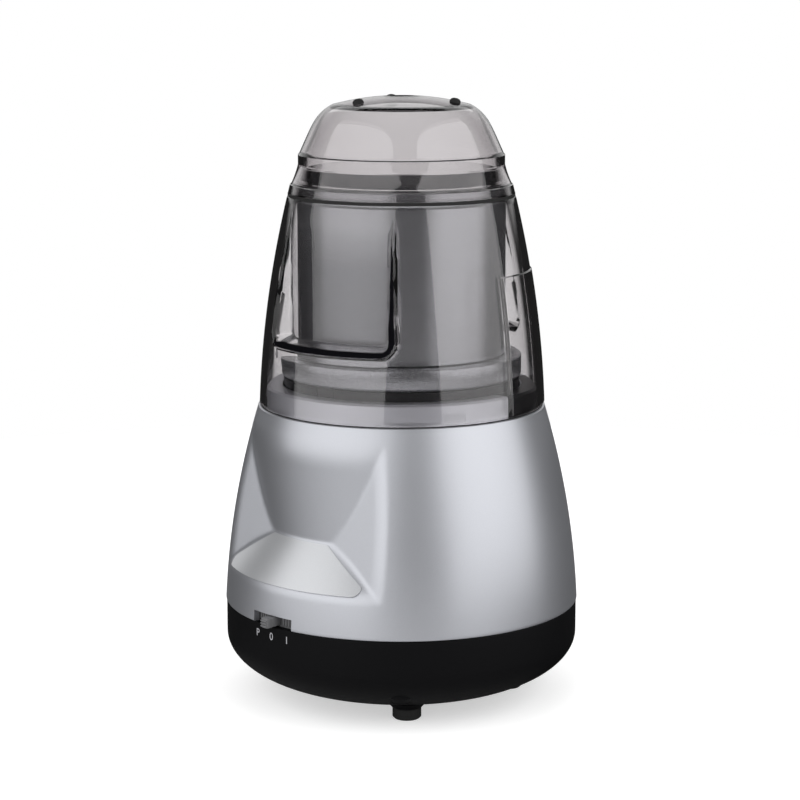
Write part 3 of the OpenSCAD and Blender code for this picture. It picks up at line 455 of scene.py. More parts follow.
@dataclass(frozen=True, kw_only=True)
class GrippedPlastic(SmokedPlastic):
    """Smoked plastic whose wall round a grip recess gets painted shade where it is looked at edge on."""

    side: SwollenCone
    floor_r: float
    front: float
    half: float
    ledge_z: float
    corner: float
    draft: float
    least_depth: float = 0.3
    behind: float = 1.4
    # Near-black colour of the painted shade on the recess's wall, which stands in for the dark of
    # refraction seen edge on.
    dark: Colour = (0.004, 0.004, 0.005)
    edge_shade_gain: float = 3.05
    edge_shade_start: float = 1.07
    ledge_shade: float = 0.55
    shade_band_start: float = 0.02
    shade_band_rise: float = 25.0
    shade_band_fall: float = 9.0
    floor_tint: Colour = (0.61, 0.61, 0.62)
    floor_start: float = 0.85
    floor_end: float = 1.15
    floor_rise: float = 10.0
    floor_fade: float = 0.3

    def surface(self, shader: Shader) -> bpy.types.NodeSocket:
        """Clear surface with painted shade on the recess's outer wall and a faint tint on its floor.

        The painted shade is a near-black band that stands in for the dark of the wall's refraction seen
        edge on.

        Args:
            shader: Shader whose tree it goes into.

        Returns:
            The surface's socket.
        """
        split = shader.node("ShaderNodeSeparateXYZ", None, {0: shader.place((1 / MM, 1 / MM, 1 / MM))})
        x, y, z = (Value(shader, socket) for socket in split.outputs)
        side_r = self.side.radius(z)
        radius = (x * x + y * y) ** 0.5
        deep = side_r - self.floor_r
        sunk = (side_r - radius) / deep.most(self.least_depth)
        along, above = self.edge_distances(x, y, z, side_r)
        span = along * along + above * above
        inside = (radius - side_r + deep * 0.5) * self.draft + self.corner - span ** 0.5
        outer = ((inside + self.behind) * 2.0).share()
        facing = Value(shader, shader.node("ShaderNodeLayerWeight", None, {"Blend": 0.5}).outputs["Facing"])
        upright = (facing * self.edge_shade_gain - self.edge_shade_start).least(1.0)
        depth = upright + above * above / span.most(0.01) * (self.ledge_shade - upright)
        # Painted shade: a near-black band on the outer wall of the recess where it is seen edge on.
        band = ((sunk - self.shade_band_start) * self.shade_band_rise).share()
        band = band * ((depth - sunk) * self.shade_band_fall).share()
        band = band * outer * (deep - 0.5).share() * (1.0 - shader.ray("Is Shadow Ray"))
        on_floor = ((sunk - self.floor_start) * self.floor_rise).share()
        on_floor = on_floor * ((self.floor_end - sunk) * self.floor_rise).share()
        on_floor = on_floor * outer * (deep * self.floor_fade).share()
        clear = self.clear(shader, shader.mix(on_floor, CLEAR, self.floor_tint))
        # Near-black surface of the painted shade.
        dark = shader.principled({
            "Base Color": (*self.dark, 1.0),
            "Roughness": 0.6,
            "Specular IOR Level": 0.0,
        })
        return shader.node("ShaderNodeMixShader", None, {0: band, 1: clear, 2: dark}).outputs[0]

    def edge_distances(self, x: Value, y: Value, z: Value, side_r: Value) -> tuple[Value, Value]:
        """Distances by which a place comes nearer to the recess's edges than the corner's radius.

        Args:
            x: Place along the frame's X, in millimetres.
            y: Place along its Y.
            z: Height.
            side_r: Radius of the cover's round side at that height.

        Returns:
            The distance to the upright edge and to the ledge, each 0 further inside.
        """
        turn = math.radians(self.front)
        ahead = x * math.sin(turn) - y * math.cos(turn)
        across = x * math.cos(turn) + y * math.sin(turn)
        off_front = ((across * across) ** 0.5).angle_over((ahead * ahead) ** 0.5)
        along = (self.corner - (math.radians(self.half) - off_front) * side_r).most(0.0)
        above = (self.corner + self.ledge_z - z).most(0.0)
        return along, above


@dataclass(frozen=True)
class Metal(Finish):
    """Metal with the marks of how it was made."""

    colour: Colour
    roughness: float
    grain: Grain
    metal: float = 1.0

    def shade(self, shader: Shader) -> None:
        """Fill a shader's tree with the metal.

        Args:
            shader: Shader of the new material.
        """
        marks = self.grain.value
        pattern = shader.noise(marks.scale, marks.detail, marks.stretch)
        dull = shade_of(self.colour, 1.0 - marks.contrast)
        surface = shader.principled({
            "Base Color": shader.mix(pattern, dull, shade_of(self.colour, 1.0 + marks.contrast)),
            "Metallic": self.metal,
            "Roughness": self.roughness - marks.contrast / 2 + pattern * marks.contrast,
            "Normal": shader.bump(pattern, marks.depth),
        })
        shader.output(surface)


@dataclass(frozen=True)
class StudioWhite(Finish):
    """Pale floor that also glows a little towards the camera, so that it runs into the background."""

    colour: Colour
    glow: float
    front: float
    front_share: float = 0.9
    hidden_shade: float = 0.06

    def shade(self, shader: Shader) -> None:
        """Fill a shader's tree with the floor's white, of which only the front shows in polished things.

        Args:
            shader: Shader of the new material.
        """
        cloud = shader.noise(4.0)
        split = shader.node("ShaderNodeSeparateXYZ", None, {0: shader.place()})
        x, y = (Value(shader, split.outputs[i]) for i in (0, 1))
        angle = math.radians(self.front)
        ahead = (x * math.sin(angle) - y * math.cos(angle)) / ((x * x + y * y) ** 0.5 + 0.001)
        hidden = shader.ray("Is Glossy Ray") * (1.0 - ahead * self.front_share).share()
        dim = shade_of(self.colour, self.hidden_shade)
        matt = shader.principled({
            "Base Color": shader.mix((hidden + cloud * 0.005).share(), self.colour, dim),
            "Roughness": 0.9,
            "Specular IOR Level": 0.1,
        })
        glow = shader.node("ShaderNodeEmission", None, {"Strength": self.glow}).outputs[0]
        both = shader.node("ShaderNodeAddShader", None, {0: matt, 1: glow}).outputs[0]
        seen = shader.ray("Is Camera Ray").most(shader.ray("Is Transmission Ray"))
        shader.output(shader.node("ShaderNodeMixShader", None, {0: seen, 1: matt, 2: both}).outputs[0])


SILVER_PAINT = FlakePaint("silver_paint_finish", (0.50, 0.51, 0.545), 0.41, 0.9)
LABEL_FOIL = FlakePaint("label_foil_finish", (0.62, 0.63, 0.65), 0.34, 0.75, 0.1)
BLACK_PLASTIC = MouldedPlastic("black_plastic_finish", (0.0035, 0.0035, 0.004), 0.5, gloss=0.06)
LOCK_PLASTIC = MouldedPlastic("lock_plastic_finish", (0.004, 0.004, 0.005), 0.36, gloss=0.25)
KNOB_PLASTIC = MouldedPlastic("knob_plastic_finish", (0.12, 0.12, 0.125), 0.42, 1800.0)
BLACK_RUBBER = MouldedPlastic("black_rubber_finish", (0.012, 0.012, 0.012), 0.7, 1500.0, 0.00003, 0.3)
COVER_SMOKE = ((0.49, 0.45, 0.47), 170.0)
SMOKED_CAP = SmokedPlastic("smoked_cap_finish", (0.49, 0.44, 0.46), 300.0)
CLEAR_RUBBER = SmokedPlastic("clear_rubber_finish", (0.6, 0.58, 0.58), 15.0, 0.04)
BOWL_METAL = Metal("bowl_metal_finish", (0.33, 0.335, 0.35), 0.27, Grain.BRUSHED_ROUND, 0.92)
GREY_PLASTIC = FlakePaint("grey_plastic_finish", (0.29, 0.295, 0.31), 0.27, 0.88, 0.1)
WHITE_PLASTIC = MouldedPlastic("white_plastic_finish", (0.72, 0.72, 0.69), 0.4)
DARK_PLASTIC = MouldedPlastic("dark_plastic_finish", (0.03, 0.03, 0.034), 0.45)
BAKELITE = MouldedPlastic("brush_holder_finish", (0.09, 0.045, 0.025), 0.4)
PLATED_STEEL = Metal("plated_steel_finish", (0.62, 0.62, 0.63), 0.3, Grain.PLATED)
BLADE_STEEL = Metal("blade_steel_finish", (0.66, 0.67, 0.68), 0.22, Grain.PLATED)
LAMINATION = Metal("lamination_finish", (0.22, 0.225, 0.235), 0.5, Grain.STACKED)
COPPER = Metal("copper_finish", (0.72, 0.34, 0.17), 0.35, Grain.WOUND)
BRONZE = Metal("bronze_finish", (0.60, 0.42, 0.2), 0.4, Grain.CAST)
CAST_METAL = Metal("cast_metal_finish", (0.55, 0.56, 0.57), 0.48, Grain.CAST)
CARBON = MouldedPlastic("carbon_finish", (0.015, 0.015, 0.016), 0.6)
LEGEND_INK = MouldedPlastic("legend_ink_finish", (0.34, 0.34, 0.36), 0.6)
FLOOR_WHITE = StudioWhite("floor_white_finish", (0.72, 0.72, 0.72), 0.5, 30.0)


# Shaping


class Blank:
    """Mesh of one piece while it is shaped, in millimetres."""

    def __init__(self) -> None:
        """Start an empty mesh."""
        self.bm = bmesh.new()

    def spin(self, outline: Sequence[Point], steps: int, closed: bool = False) -> None:
        """Turn an outline about the upright axis, starting at the front.

        Args:
            outline: Points of radius and height.
            steps: Columns in a full turn.
            closed: Whether the last point joins the first.
        """
        rim = [self.bm.verts.new((0.0, -radius, height)) for radius, height in outline]
        pairs = list(zip(rim, rim[1:]))
        if closed:
            pairs.append((rim[-1], rim[0]))
        edges = [self.bm.edges.new(pair) for pair in pairs]
        bmesh.ops.spin(self.bm, geom=rim + edges, cent=(0, 0, 0), axis=(0, 0, 1), dvec=(0, 0, 0),
                       angle=math.tau, steps=steps, use_merge=True)
        bmesh.ops.remove_doubles(self.bm, verts=self.bm.verts, dist=WELD)
        self.face_out()

    def box(self, low: Sequence[float], high: Sequence[float],
            round_off: float = 0.0) -> list[bmesh.types.BMVert]:
        """Add a box between two corners, with its edges rounded.

        Args:
            low: Lowest corner.
            high: Highest corner.
            round_off: Radius of its edges.

        Returns:
            The box's vertices.
        """
        before = set(self.bm.verts)
        size = Matrix.Diagonal([b - a for a, b in zip(low, high)]).to_4x4()
        centre = Matrix.Translation([(a + b) / 2 for a, b in zip(low, high)])
        made = bmesh.ops.create_cube(self.bm, size=1.0, matrix=centre @ size)
        if round_off:
            edges = list({edge for vert in made["verts"] for edge in vert.link_edges})
            bmesh.ops.bevel(self.bm, geom=edges, offset=round_off, offset_type="OFFSET", affect="EDGES",
                            segments=3, profile=0.5, material=-1)
        return [vert for vert in self.bm.verts if vert not in before]

    def rod(self, centre: Sequence[float], radius: float, length: float,
            turn: Matrix | None = None) -> None:
        """Add a cylinder on a centre, upright unless it is turned.

        Args:
            centre: Middle of the cylinder.
            radius: Its radius.
            length: Its length.
            turn: Turn about the centre.
        """
        place = Matrix.Translation(centre) @ (turn or Matrix.Identity(4))
        bmesh.ops.create_cone(self.bm, cap_ends=True, segments=48, radius1=radius, radius2=radius,
                              depth=length, matrix=place)

    def add(self, other: "Blank") -> None:
        """Take in another blank's mesh, after which that one is spent.

        Args:
            other: Blank to take in.
        """
        held = bpy.data.meshes.new("held")
        other.bm.to_mesh(held)
        other.bm.free()
        self.bm.from_mesh(held)
        bpy.data.meshes.remove(held)

    def turn(self, verts: Iterable[bmesh.types.BMVert], azimuth: float) -> None:
        """Turn vertices round the upright axis."""
        bmesh.ops.rotate(self.bm, verts=list(verts), cent=(0, 0, 0),
                         matrix=Matrix.Rotation(math.radians(azimuth), 3, "Z"))

    def face_out(self) -> None:
        """Turn every face outwards."""
        bmesh.ops.recalc_face_normals(self.bm, faces=self.bm.faces)

    def grow(self, faces: Iterable[bmesh.types.BMFace]) -> list[bmesh.types.BMVert]:
        """Extrude faces as one region and return the new vertices, still in their old place.

        Args:
            faces: Faces to extrude.

        Returns:
            The new vertices.
        """
        grown = bmesh.ops.extrude_face_region(self.bm, geom=list(faces))
        return [part for part in grown["geom"] if isinstance(part, bmesh.types.BMVert)]

    def cut_meridian(self, azimuth: float, low: float, high: float, least: float) -> None:
        """Split the faces that cross a meridian.

        Args:
            azimuth: Azimuth of the meridian.
            low: Lowest height of a face's centre.
            high: Highest height of a face's centre.
            least: Least radius of a face's centre.
        """
        angle = math.radians(azimuth)
        faces = [f for f in self.bm.faces if self._near(f, azimuth, low, high, least)]
        parts = {part for face in faces for part in (face, *face.edges, *face.verts)}
        bmesh.ops.bisect_plane(self.bm, geom=list(parts), dist=WELD, plane_co=(0, 0, 0),
                               plane_no=(math.cos(angle), math.sin(angle), 0.0))

    @staticmethod
    def _near(face: bmesh.types.BMFace, azimuth: float, low: float, high: float, least: float) -> bool:
        """Whether a face lies close to a meridian, between two heights."""
        middle = face.calc_center_median()
        if not low < middle.z < high or math.hypot(middle.x, middle.y) < least:
            return False
        return abs(turn_between(azimuth_of(middle), azimuth)) < 3.0

    def patch(self, start: float, end: float, low: float, high: float,
              least: float) -> list[bmesh.types.BMFace]:
        """Faces between two azimuths and two heights, past a least radius.

        Args:
            start: Azimuth at which they start.
            end: Azimuth at which they end.
            low: Lowest height of a face's centre.
            high: Highest height of a face's centre.
            least: Least radius of a face's centre.

        Returns:
            The faces.
        """
        found = []
        for face in self.bm.faces:
            middle = face.calc_center_median()
            if not low < middle.z < high or math.hypot(middle.x, middle.y) < least:
                continue
            if 0.0 < (azimuth_of(middle) - start) % 360.0 < (end - start):
                found.append(face)
        return found

    def pocket(self, faces: list[bmesh.types.BMFace], radius: float) -> None:
        """Push faces inwards or outwards to a radius, with walls round them.

        Args:
            faces: Faces to push.
            radius: Radius that they end at.
        """
        for vert in self.grow(faces):
            set_radius(vert, radius)
        bmesh.ops.remove_doubles(self.bm, verts=self.bm.verts, dist=WELD)

    def move(self, rule: Callable[[float, float, float], Point]) -> None:
        """Move every vertex to what a rule gives for its azimuth, radius and height.

        Args:
            rule: Gives the new azimuth and radius.
        """
        for vert in self.bm.verts:
            radius = math.hypot(vert.co.x, vert.co.y)
            if radius > WELD:
                azimuth, radius = rule(azimuth_of(vert.co), radius, vert.co.z)
                angle = math.radians(azimuth)
                vert.co.x = radius * math.sin(angle)
                vert.co.y = -radius * math.cos(angle)

    def mesh(self, name: str) -> bpy.types.Mesh:
        """The mesh in metres, smooth but for its sharp edges.

        Args:
            name: Name of the mesh.

        Returns:
            The new mesh, after which the blank is spent.
        """
        bmesh.ops.scale(self.bm, vec=(MM, MM, MM), verts=self.bm.verts)
        for face in self.bm.faces:
            face.smooth = True
        mesh = bpy.data.meshes.new(name)
        self.bm.to_mesh(mesh)
        self.bm.free()
        mesh.set_sharp_from_angle(angle=math.radians(38.0))
        return mesh

    def piece(self, name: str, finish: Finish, body: Body, slot: str,
              nodes: Iterable[str] = ()) -> bpy.types.Object:
        """Make the finished piece and hand it to the frame.

        Args:
            name: Name of the piece.
            finish: Its finish.
            body: Body that it rides on.
            slot: Material slot of the piece; not used.
            nodes: Nodes that it stands for.

        Returns:
            The piece's object.
        """
        return hand_over(self.mesh(name), finish, body, nodes)


def hand_over(mesh: bpy.types.Mesh, finish: Finish, body: Body,
              nodes: Iterable[str]) -> bpy.types.Object:
    """Make an object of a mesh, dress it and let it ride on a body.

    Args:
        mesh: Mesh in metres, in the frame.
        finish: Finish of the piece.
        body: Body that it rides on.
        nodes: Nodes that it stands for.

    Returns:
        The new object.
    """
    piece = bpy.data.objects.new(mesh.name, mesh)
    bpy.context.scene.collection.objects.link(piece)
    if mesh.materials:
        mesh.materials.clear()
    mesh.materials.append(finish.material())
    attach(piece, body.value)
    for node in nodes:
        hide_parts(node)
    LOG.info("%s: %d faces, on %s", piece.name, len(mesh.polygons), body.value)
    return piece


def azimuth_of(point: Vector) -> float:
    """Azimuth of a point, from the front."""
    return math.degrees(math.atan2(point.x, -point.y))


def turn_between(azimuth: float, other: float) -> float:
    """Turn from one azimuth to another, the short way."""
    return (azimuth - other + 180.0) % 360.0 - 180.0


def set_radius(vert: bmesh.types.BMVert, radius: float) -> None:
    """Move a vertex straight in or out to a radius.

    Args:
        vert: Vertex to move.
        radius: Its new radius.
    """
    factor = radius / math.hypot(vert.co.x, vert.co.y)
    vert.co.x *= factor
    vert.co.y *= factor


def polar(radius: float, azimuth: float, height: float) -> Vector:
    """Point at a radius, azimuth and height."""
    angle = math.radians(azimuth)
    return Vector((radius * math.sin(angle), -radius * math.cos(angle), height))


def carved(mesh: bpy.types.Mesh, cutter: Blank) -> bpy.types.Mesh:
    """A mesh with the solids of a cutter taken away.

    Args:
        mesh: Mesh to cut, in metres.
        cutter: Closed solids.

    Returns:
        The cut mesh.
    """
    body = bpy.data.objects.new("carved_body", mesh)
    tool = bpy.data.objects.new("carving_tool", cutter.mesh("carving_tool"))
    for item in (body, tool):
        bpy.context.scene.collection.objects.link(item)
    cut = body.modifiers.new("cut", "BOOLEAN")
    cut.object = tool
    cut.operation = "DIFFERENCE"
    cut.solver = "EXACT"
    seen = body.evaluated_get(bpy.context.evaluated_depsgraph_get())
    result = bpy.data.meshes.new_from_object(seen)
    result.name = mesh.name + "_cut"
    for item in (body, tool):
        bpy.data.objects.remove(item)
    return result


# Sub-assemblies


@dataclass
class MotorBase:
    """Silver housing with its front panel, black pan, label plate and switch legends."""

    base_r: float = 70.3
    seam_z: float = 38.0
    shoulder_z: float = 116.3
    shoulder_r: float = 56.5
    swell: float = 2.5
    wall: float = 2.5
    edge_round: float = 0.5
    shoulder_round: float = 0.7
    neck_r: float = 53.1
    deck_z: float = 124.7
    neck_chamfer: float = 0.8
    groove_z: float = 120.7
    groove_r: float = 46.8
    groove_in_r: float = 41.7
    well_r: float = 36.0
    well_z: float = 112.2
    shaft_hole_r: float = 6.4
    slot_half: float = 8.7
    slot_h: float = 4.5
    lug_azimuths: tuple[float, ...] = (67.0, 187.0, 307.0)
    lug_low: float = 117.5
    lug_high: float = 120.6
    lug_floor_r: float = 50.8
    lug_entry: float = 9.5
    lock_turn: float = 22.0
    # Azimuths of the dark skin of painted shade on the neck's right.
    neck_shade_start: float = 94.0
    neck_shade_end: float = 150.0
    panel_valley_z: float = 70.2
    panel_top_z: float = 105.5
    panel_bottom_z: float = 54.0
    panel_depth: float = 11.4
    panel_valley_half: float = 16.2
    panel_half: float = 37.2
    panel_rim_soft: float = 2.2
    panel_fold_soft: float = 0.6
    pan_gap: float = 0.3
    pan_z: float = 4.2
    pan_round_w: float = 40.7
    pan_round_h: float = 20.5
    # Black ring of painted shadow in the gap under the cover's foot: how far in it starts and how tall it
    # is.
    shadow_ring_in: float = 0.75
    shadow_ring_h: float = 0.24
    # Lift and thickness of the dark skin of painted shade on the neck.
    neck_shade_rise: float = 0.3
    neck_shade_thickness: float = 0.14
    vent_count: int = 10
    vent_start_r: float = 10.0
    vent_end_r: float = 26.0
    vent_half_w: float = 1.5
    vent_top_z: float = 12.0
    screw_azimuths: tuple[float, ...] = (45.0, 135.0, 225.0, 315.0)
    screw_ring_r: float = 60.3
    screw_head_r: float = 3.5
    screw_hole_r: float = 1.9
    screw_post_r: float = 5.2
    gland_r: float = 6.1
    gland_z: float = 26.0
    foot_azimuths: tuple[float, ...] = (48.0, -48.0, 132.0, -132.0)
    foot_ring_r: float = 43.0
    foot_low_r: float = 5.8
    foot_high_r: float = 8.4
    foot_h: float = 2.8
    foot_mid_z: float = 5.85
    label_margin: float = 0.7
    label_corner: float = 2.6
    label_thick: float = 0.4
    legend_h: float = 3.0
    legend_z: float = 34.0
    legend_turn: float = 6.7
    columns: int = 480

    def side(self) -> SwollenCone:
        """Round side of the housing."""
        return SwollenCone(self.seam_z, self.base_r, self.shoulder_z, self.shoulder_r, self.swell)

    def build(self) -> None:
        """Build every piece of the base."""
        self.build_housing()
        self.build_pan()
        self.build_label()
        self.build_legends()
        self.build_painted_neck_shade()

    def build_painted_neck_shade(self) -> None:
        """Build painted shade round the neck, as two dark pieces.

        A thin black ring on the shoulder stands in for the shadow in the gap under the cover's foot, and a
        thin dark skin on the neck's right stands in for the shade inside the bayonet opening.
        """
        # Painted shadow: a black ring where the real joint shows only the shadow under the cover's foot.
        shadow_ring = Blank()
        low, high = self.shoulder_z, self.shoulder_z + self.shadow_ring_h
        neck, rim = self.neck_r + 0.1, self.shoulder_r - self.shadow_ring_in
        shadow_ring.spin([(neck, low), (rim, low), (rim + 0.15, (low + high) / 2), (rim, high), (neck, high)],
                    self.columns, True)
        shadow_ring.piece("shoulder_shadow_ring", BLACK_RUBBER, Body.BASE, "black_rubber")
        # Painted shade: a thin dark skin over the silver neck, standing in for the shade inside the opening
        # there.
        block = Blank()
        foot, deck = self.shoulder_z + self.neck_shade_rise, self.deck_z
        outside, inside = self.neck_r + self.neck_shade_thickness, self.groove_r + 0.6
        block.spin([(self.neck_r - 0.4, foot), (outside, foot), (outside, deck - 0.9),
                    (self.neck_r - 0.7, deck + 0.05), (inside, deck + 0.05), (inside, deck - 0.5),
                    (self.neck_r - 0.9, deck - 0.5)], 240, True)
        for azimuth, away in ((self.neck_shade_start, 1.0), (self.neck_shade_end, -1.0)):
            angle = math.radians(azimuth)
            geom = [*block.bm.verts, *block.bm.edges, *block.bm.faces]
            bmesh.ops.bisect_plane(block.bm, geom=geom, dist=WELD, plane_co=(0, 0, 0), clear_inner=True,
                                   plane_no=(away * math.cos(angle), away * math.sin(angle), 0.0))
        bmesh.ops.holes_fill(block.bm, edges=[e for e in block.bm.edges if e.is_boundary], sides=0)
        block.face_out()
        block.piece("neck_shade_skin", LOCK_PLASTIC, Body.BASE, "black_plastic")

    def panel_plane(self) -> tuple[Vector, Vector]:
        """Plane of the panel's right side facet, as a point and a normal that faces backwards.

        Returns:
            The point and the normal.
        """
        side = self.side()
        top = polar(side.radius(self.panel_top_z), self.panel_half, self.panel_top_z)
        valley = polar(self.valley_radius(), self.panel_valley_half, self.panel_valley_z)
        low = polar(side.radius(self.panel_bottom_z), self.panel_half, self.panel_bottom_z)
        normal = (top - valley).cross(low - valley).normalized()
        return valley, normal if normal.y > 0 else -normal

    def valley_radius(self) -> float:
        """Radius of the panel's valley."""
        return self.side().radius(self.panel_valley_z) - self.panel_depth

    def cone_radius(self, height: float, end_z: float) -> float:
        """Radius of the panel's upper or lower facet, a cone from the valley to the housing's side.

        Args:
            height: Height of a place on the facet.
            end_z: Height at which the facet meets the side.

        Returns:
            The radius there.
        """
        valley_r = self.valley_radius()
        share = (height - self.panel_valley_z) / (end_z - self.panel_valley_z)
        return valley_r + (self.side().radius(end_z) - valley_r) * share

    def panel_radius(self, azimuth: float, height: float) -> float:
        """Radius of the panel's facets along a ray from the axis, large where there is no panel.

        Args:
            azimuth: Azimuth of the ray.
            height: Height of the ray.

        Returns:
            The radius at which the ray leaves the panel's surface.
        """
        point, normal = self.panel_plane()
        ray = polar(1.0, abs(azimuth), 0.0)
        facing = -ray.dot(normal)
        if facing < 0.02:
            return 1000.0
        facet = (normal.z * height - point.dot(normal)) / facing
        upper = self.cone_radius(height, self.panel_top_z)
        lower = self.cone_radius(height, self.panel_bottom_z)
        cones = soft_max(upper, lower, self.panel_fold_soft)
        return soft_max(cones, facet, self.panel_fold_soft)

    def housing_outline(self) -> list[Point]:
        """Section of the housing from the seam over the deck to the shaft's hole.

        Returns:
            Points of radius and height.
        """
        side = self.side()
        soft = self.edge_round
        slot_z = self.seam_z + self.slot_h
        top = self.shoulder_z - self.shoulder_round
        rise = [(side.radius(z), z) for z in spread(self.seam_z + soft, slot_z, 0.8)]
        rise += [(side.radius(z), z) for z in spread(slot_z, top, 0.9)[1:]]
        shoulder = arc((side.radius(top) - self.shoulder_round, top), self.shoulder_round, 0, 90)
        neck_heights = [self.shoulder_z, self.lug_low, self.lug_high, self.deck_z - self.neck_chamfer]
        return [
            (self.base_r - self.wall, self.seam_z),
            *arc((side.radius(self.seam_z + soft) - soft, self.seam_z + soft), soft, -90, 0)[:-1],
            *rise, *shoulder[1:],
            *[(self.neck_r, z) for z in neck_heights],
            (self.neck_r - self.neck_chamfer, self.deck_z),
            (self.lug_floor_r, self.deck_z),
            *arc((self.groove_r + 0.4, self.deck_z - 0.4), 0.4, 90, 180, 3),
            (self.groove_r, self.groove_z), (self.groove_in_r, self.groove_z),
            *arc((self.groove_in_r - 0.4, self.deck_z - 0.4), 0.4, 0, 90, 3),
            *arc((self.well_r + 0.8, self.deck_z - 0.8), 0.8, 90, 180, 4),
            *arc((self.well_r - 2.0, self.well_z + 2.0), 2.0, 0, -90, 5),
            (self.shaft_hole_r, self.well_z), (self.shaft_hole_r, self.well_z - self.wall),
        ]

    def build_housing(self) -> None:
        """Build the silver shell with its panel, switch slot and bayonet slots."""
        blank = Blank()
        blank.spin(self.housing_outline(), self.columns)
        side = self.side()

        def pressed(azimuth: float, radius: float, height: float) -> Point:
            """Press the panel into the side."""
            on_side = radius > self.neck_r + 1.5 and self.seam_z + 1 < height < self.shoulder_z - 1
            if on_side:
                panel_r = self.panel_radius(azimuth, height)
                radius = soft_min(side.radius(height), panel_r, self.panel_rim_soft)
            return azimuth, radius

        blank.move(pressed)
        self.cut_switch_slot(blank)
        self.cut_bayonet_slots(blank)
        blank.piece("housing_shell", SILVER_PAINT, Body.BASE, "silver_paint", ["base_housing"])

    def cut_switch_slot(self, blank: Blank) -> None:
        """Open the slot at the seam that the knob slides in, with the wall's thickness round it.

        Args:
            blank: Housing's mesh.
        """
        slot_z = self.seam_z + self.slot_h
        inner = self.base_r - self.wall
        for azimuth in (-self.slot_half, self.slot_half):
            blank.cut_meridian(azimuth, self.seam_z - 1, slot_z + 1, inner - 2)
        faces = blank.patch(-self.slot_half, self.slot_half, self.seam_z - 1, slot_z, inner - 2)
        rim = {edge for face in faces for edge in face.edges}
        bmesh.ops.delete(blank.bm, geom=faces, context="FACES")
        rim = [edge for edge in rim if edge.is_valid and edge.is_boundary]
        rim = [edge for edge in rim if min(v.co.z for v in edge.verts) > self.seam_z - 0.1]
        rim = [edge for edge in rim if max(v.co.z for v in edge.verts) > self.seam_z + WELD]
        grown = bmesh.ops.extrude_edge_only(blank.bm, edges=rim)
        for vert in grown["geom"]:
            if isinstance(vert, bmesh.types.BMVert):
                set_radius(vert, inner)
        blank.face_out()

    def cut_bayonet_slots(self, blank: Blank) -> None:
        """Sink the slots in the neck that the jar's lugs drop into and turn along.

        Args:
            blank: Housing's mesh.
        """
        least = self.lug_floor_r - 0.05
        for azimuth in self.lug_azimuths:
            half = self.lug_entry / 2
            far = azimuth - half - self.lock_turn
            for edge in (far, azimuth - half, azimuth + half):
                blank.cut_meridian(edge, self.shoulder_z + 0.2, self.deck_z + 1, least)
            run = blank.patch(far, azimuth - half, self.lug_low, self.lug_high, self.neck_r - 0.3)
            blank.pocket(run, self.lug_floor_r)
            entry = blank.patch(azimuth - half, azimuth + half, self.lug_low, self.deck_z + 1, least)
            blank.pocket(entry, self.lug_floor_r)

    def pan_section(self, inset: float) -> list[Point]:
        """Section of the pan's bowl, moved inwards by an inset.

        Args:
            inset: Distance inwards.

        Returns:
            Points of radius and height.
        """
        pan_r = self.base_r - self.pan_gap
        angles = [math.radians(90.0 * i / 28) for i in range(29)]
        start = pan_r - self.pan_round_w
        return [(0.0, self.pan_z + inset)] + [
            (start + (self.pan_round_w - inset) * math.sin(a),
             self.pan_z + self.pan_round_h - (self.pan_round_h - inset) * math.cos(a)) for a in angles
        ]

    def build_pan(self) -> None:
        """Build the black pan with its vents, screw wells, foot bosses and the gland's hole."""
        blank = Blank()
        soft = self.edge_round
        pan_r = self.base_r - self.pan_gap
        rim = arc((pan_r - soft, self.seam_z - soft), soft, 0, 90)
        blank.spin([*self.pan_section(0.0), *rim, (pan_r - self.wall, self.seam_z),
                    *reversed(self.pan_section(self.wall))], 240)
        cutter = Blank()
        half = self.vent_half_w
        for i in range(self.vent_count):
            made = cutter.box((self.vent_start_r, -half, 0.0), (self.vent_end_r, half, self.vent_top_z))
            cutter.turn(made, 360.0 * (i + 0.5) / self.vent_count)
        for azimuth in self.screw_azimuths:
            cutter.rod(polar(self.screw_ring_r, azimuth, 10.0), self.screw_head_r, 28.0)
        cutter.rod((0.0, 68.0, self.gland_z), self.gland_r, 20.0, Matrix.Rotation(math.pi / 2, 4, "X"))
        mesh = carved(blank.mesh("pan_shell"), cutter)
        hand_over(mesh, BLACK_PLASTIC, Body.BASE, ["base_pan"])
        self.build_pan_bosses()

    def build_pan_bosses(self) -> None:
        """Build the cones over the feet and the posts round the screw wells."""
        blank = Blank()
        for azimuth in self.foot_azimuths:
            place = Matrix.Translation(polar(self.foot_ring_r, azimuth, self.foot_mid_z))
            bmesh.ops.create_cone(blank.bm, cap_ends=True, segments=64, radius1=self.foot_low_r,
                                  radius2=self.foot_high_r, depth=self.foot_h, matrix=place)
        head_r, hole_r, post_r = self.screw_head_r, self.screw_hole_r, self.screw_post_r
        for azimuth in self.screw_azimuths:
            well = Blank()
            well.spin([(head_r, 12.0), (head_r, 24.0), (hole_r, 24.0), (hole_r, 37.0), (post_r, 37.0),
                       (post_r, 14.0)], 40, True)
            bmesh.ops.translate(well.bm, vec=polar(self.screw_ring_r, azimuth, 0.0), verts=well.bm.verts)
            blank.add(well)
        blank.piece("pan_bosses", BLACK_PLASTIC, Body.BASE, "black_plastic")

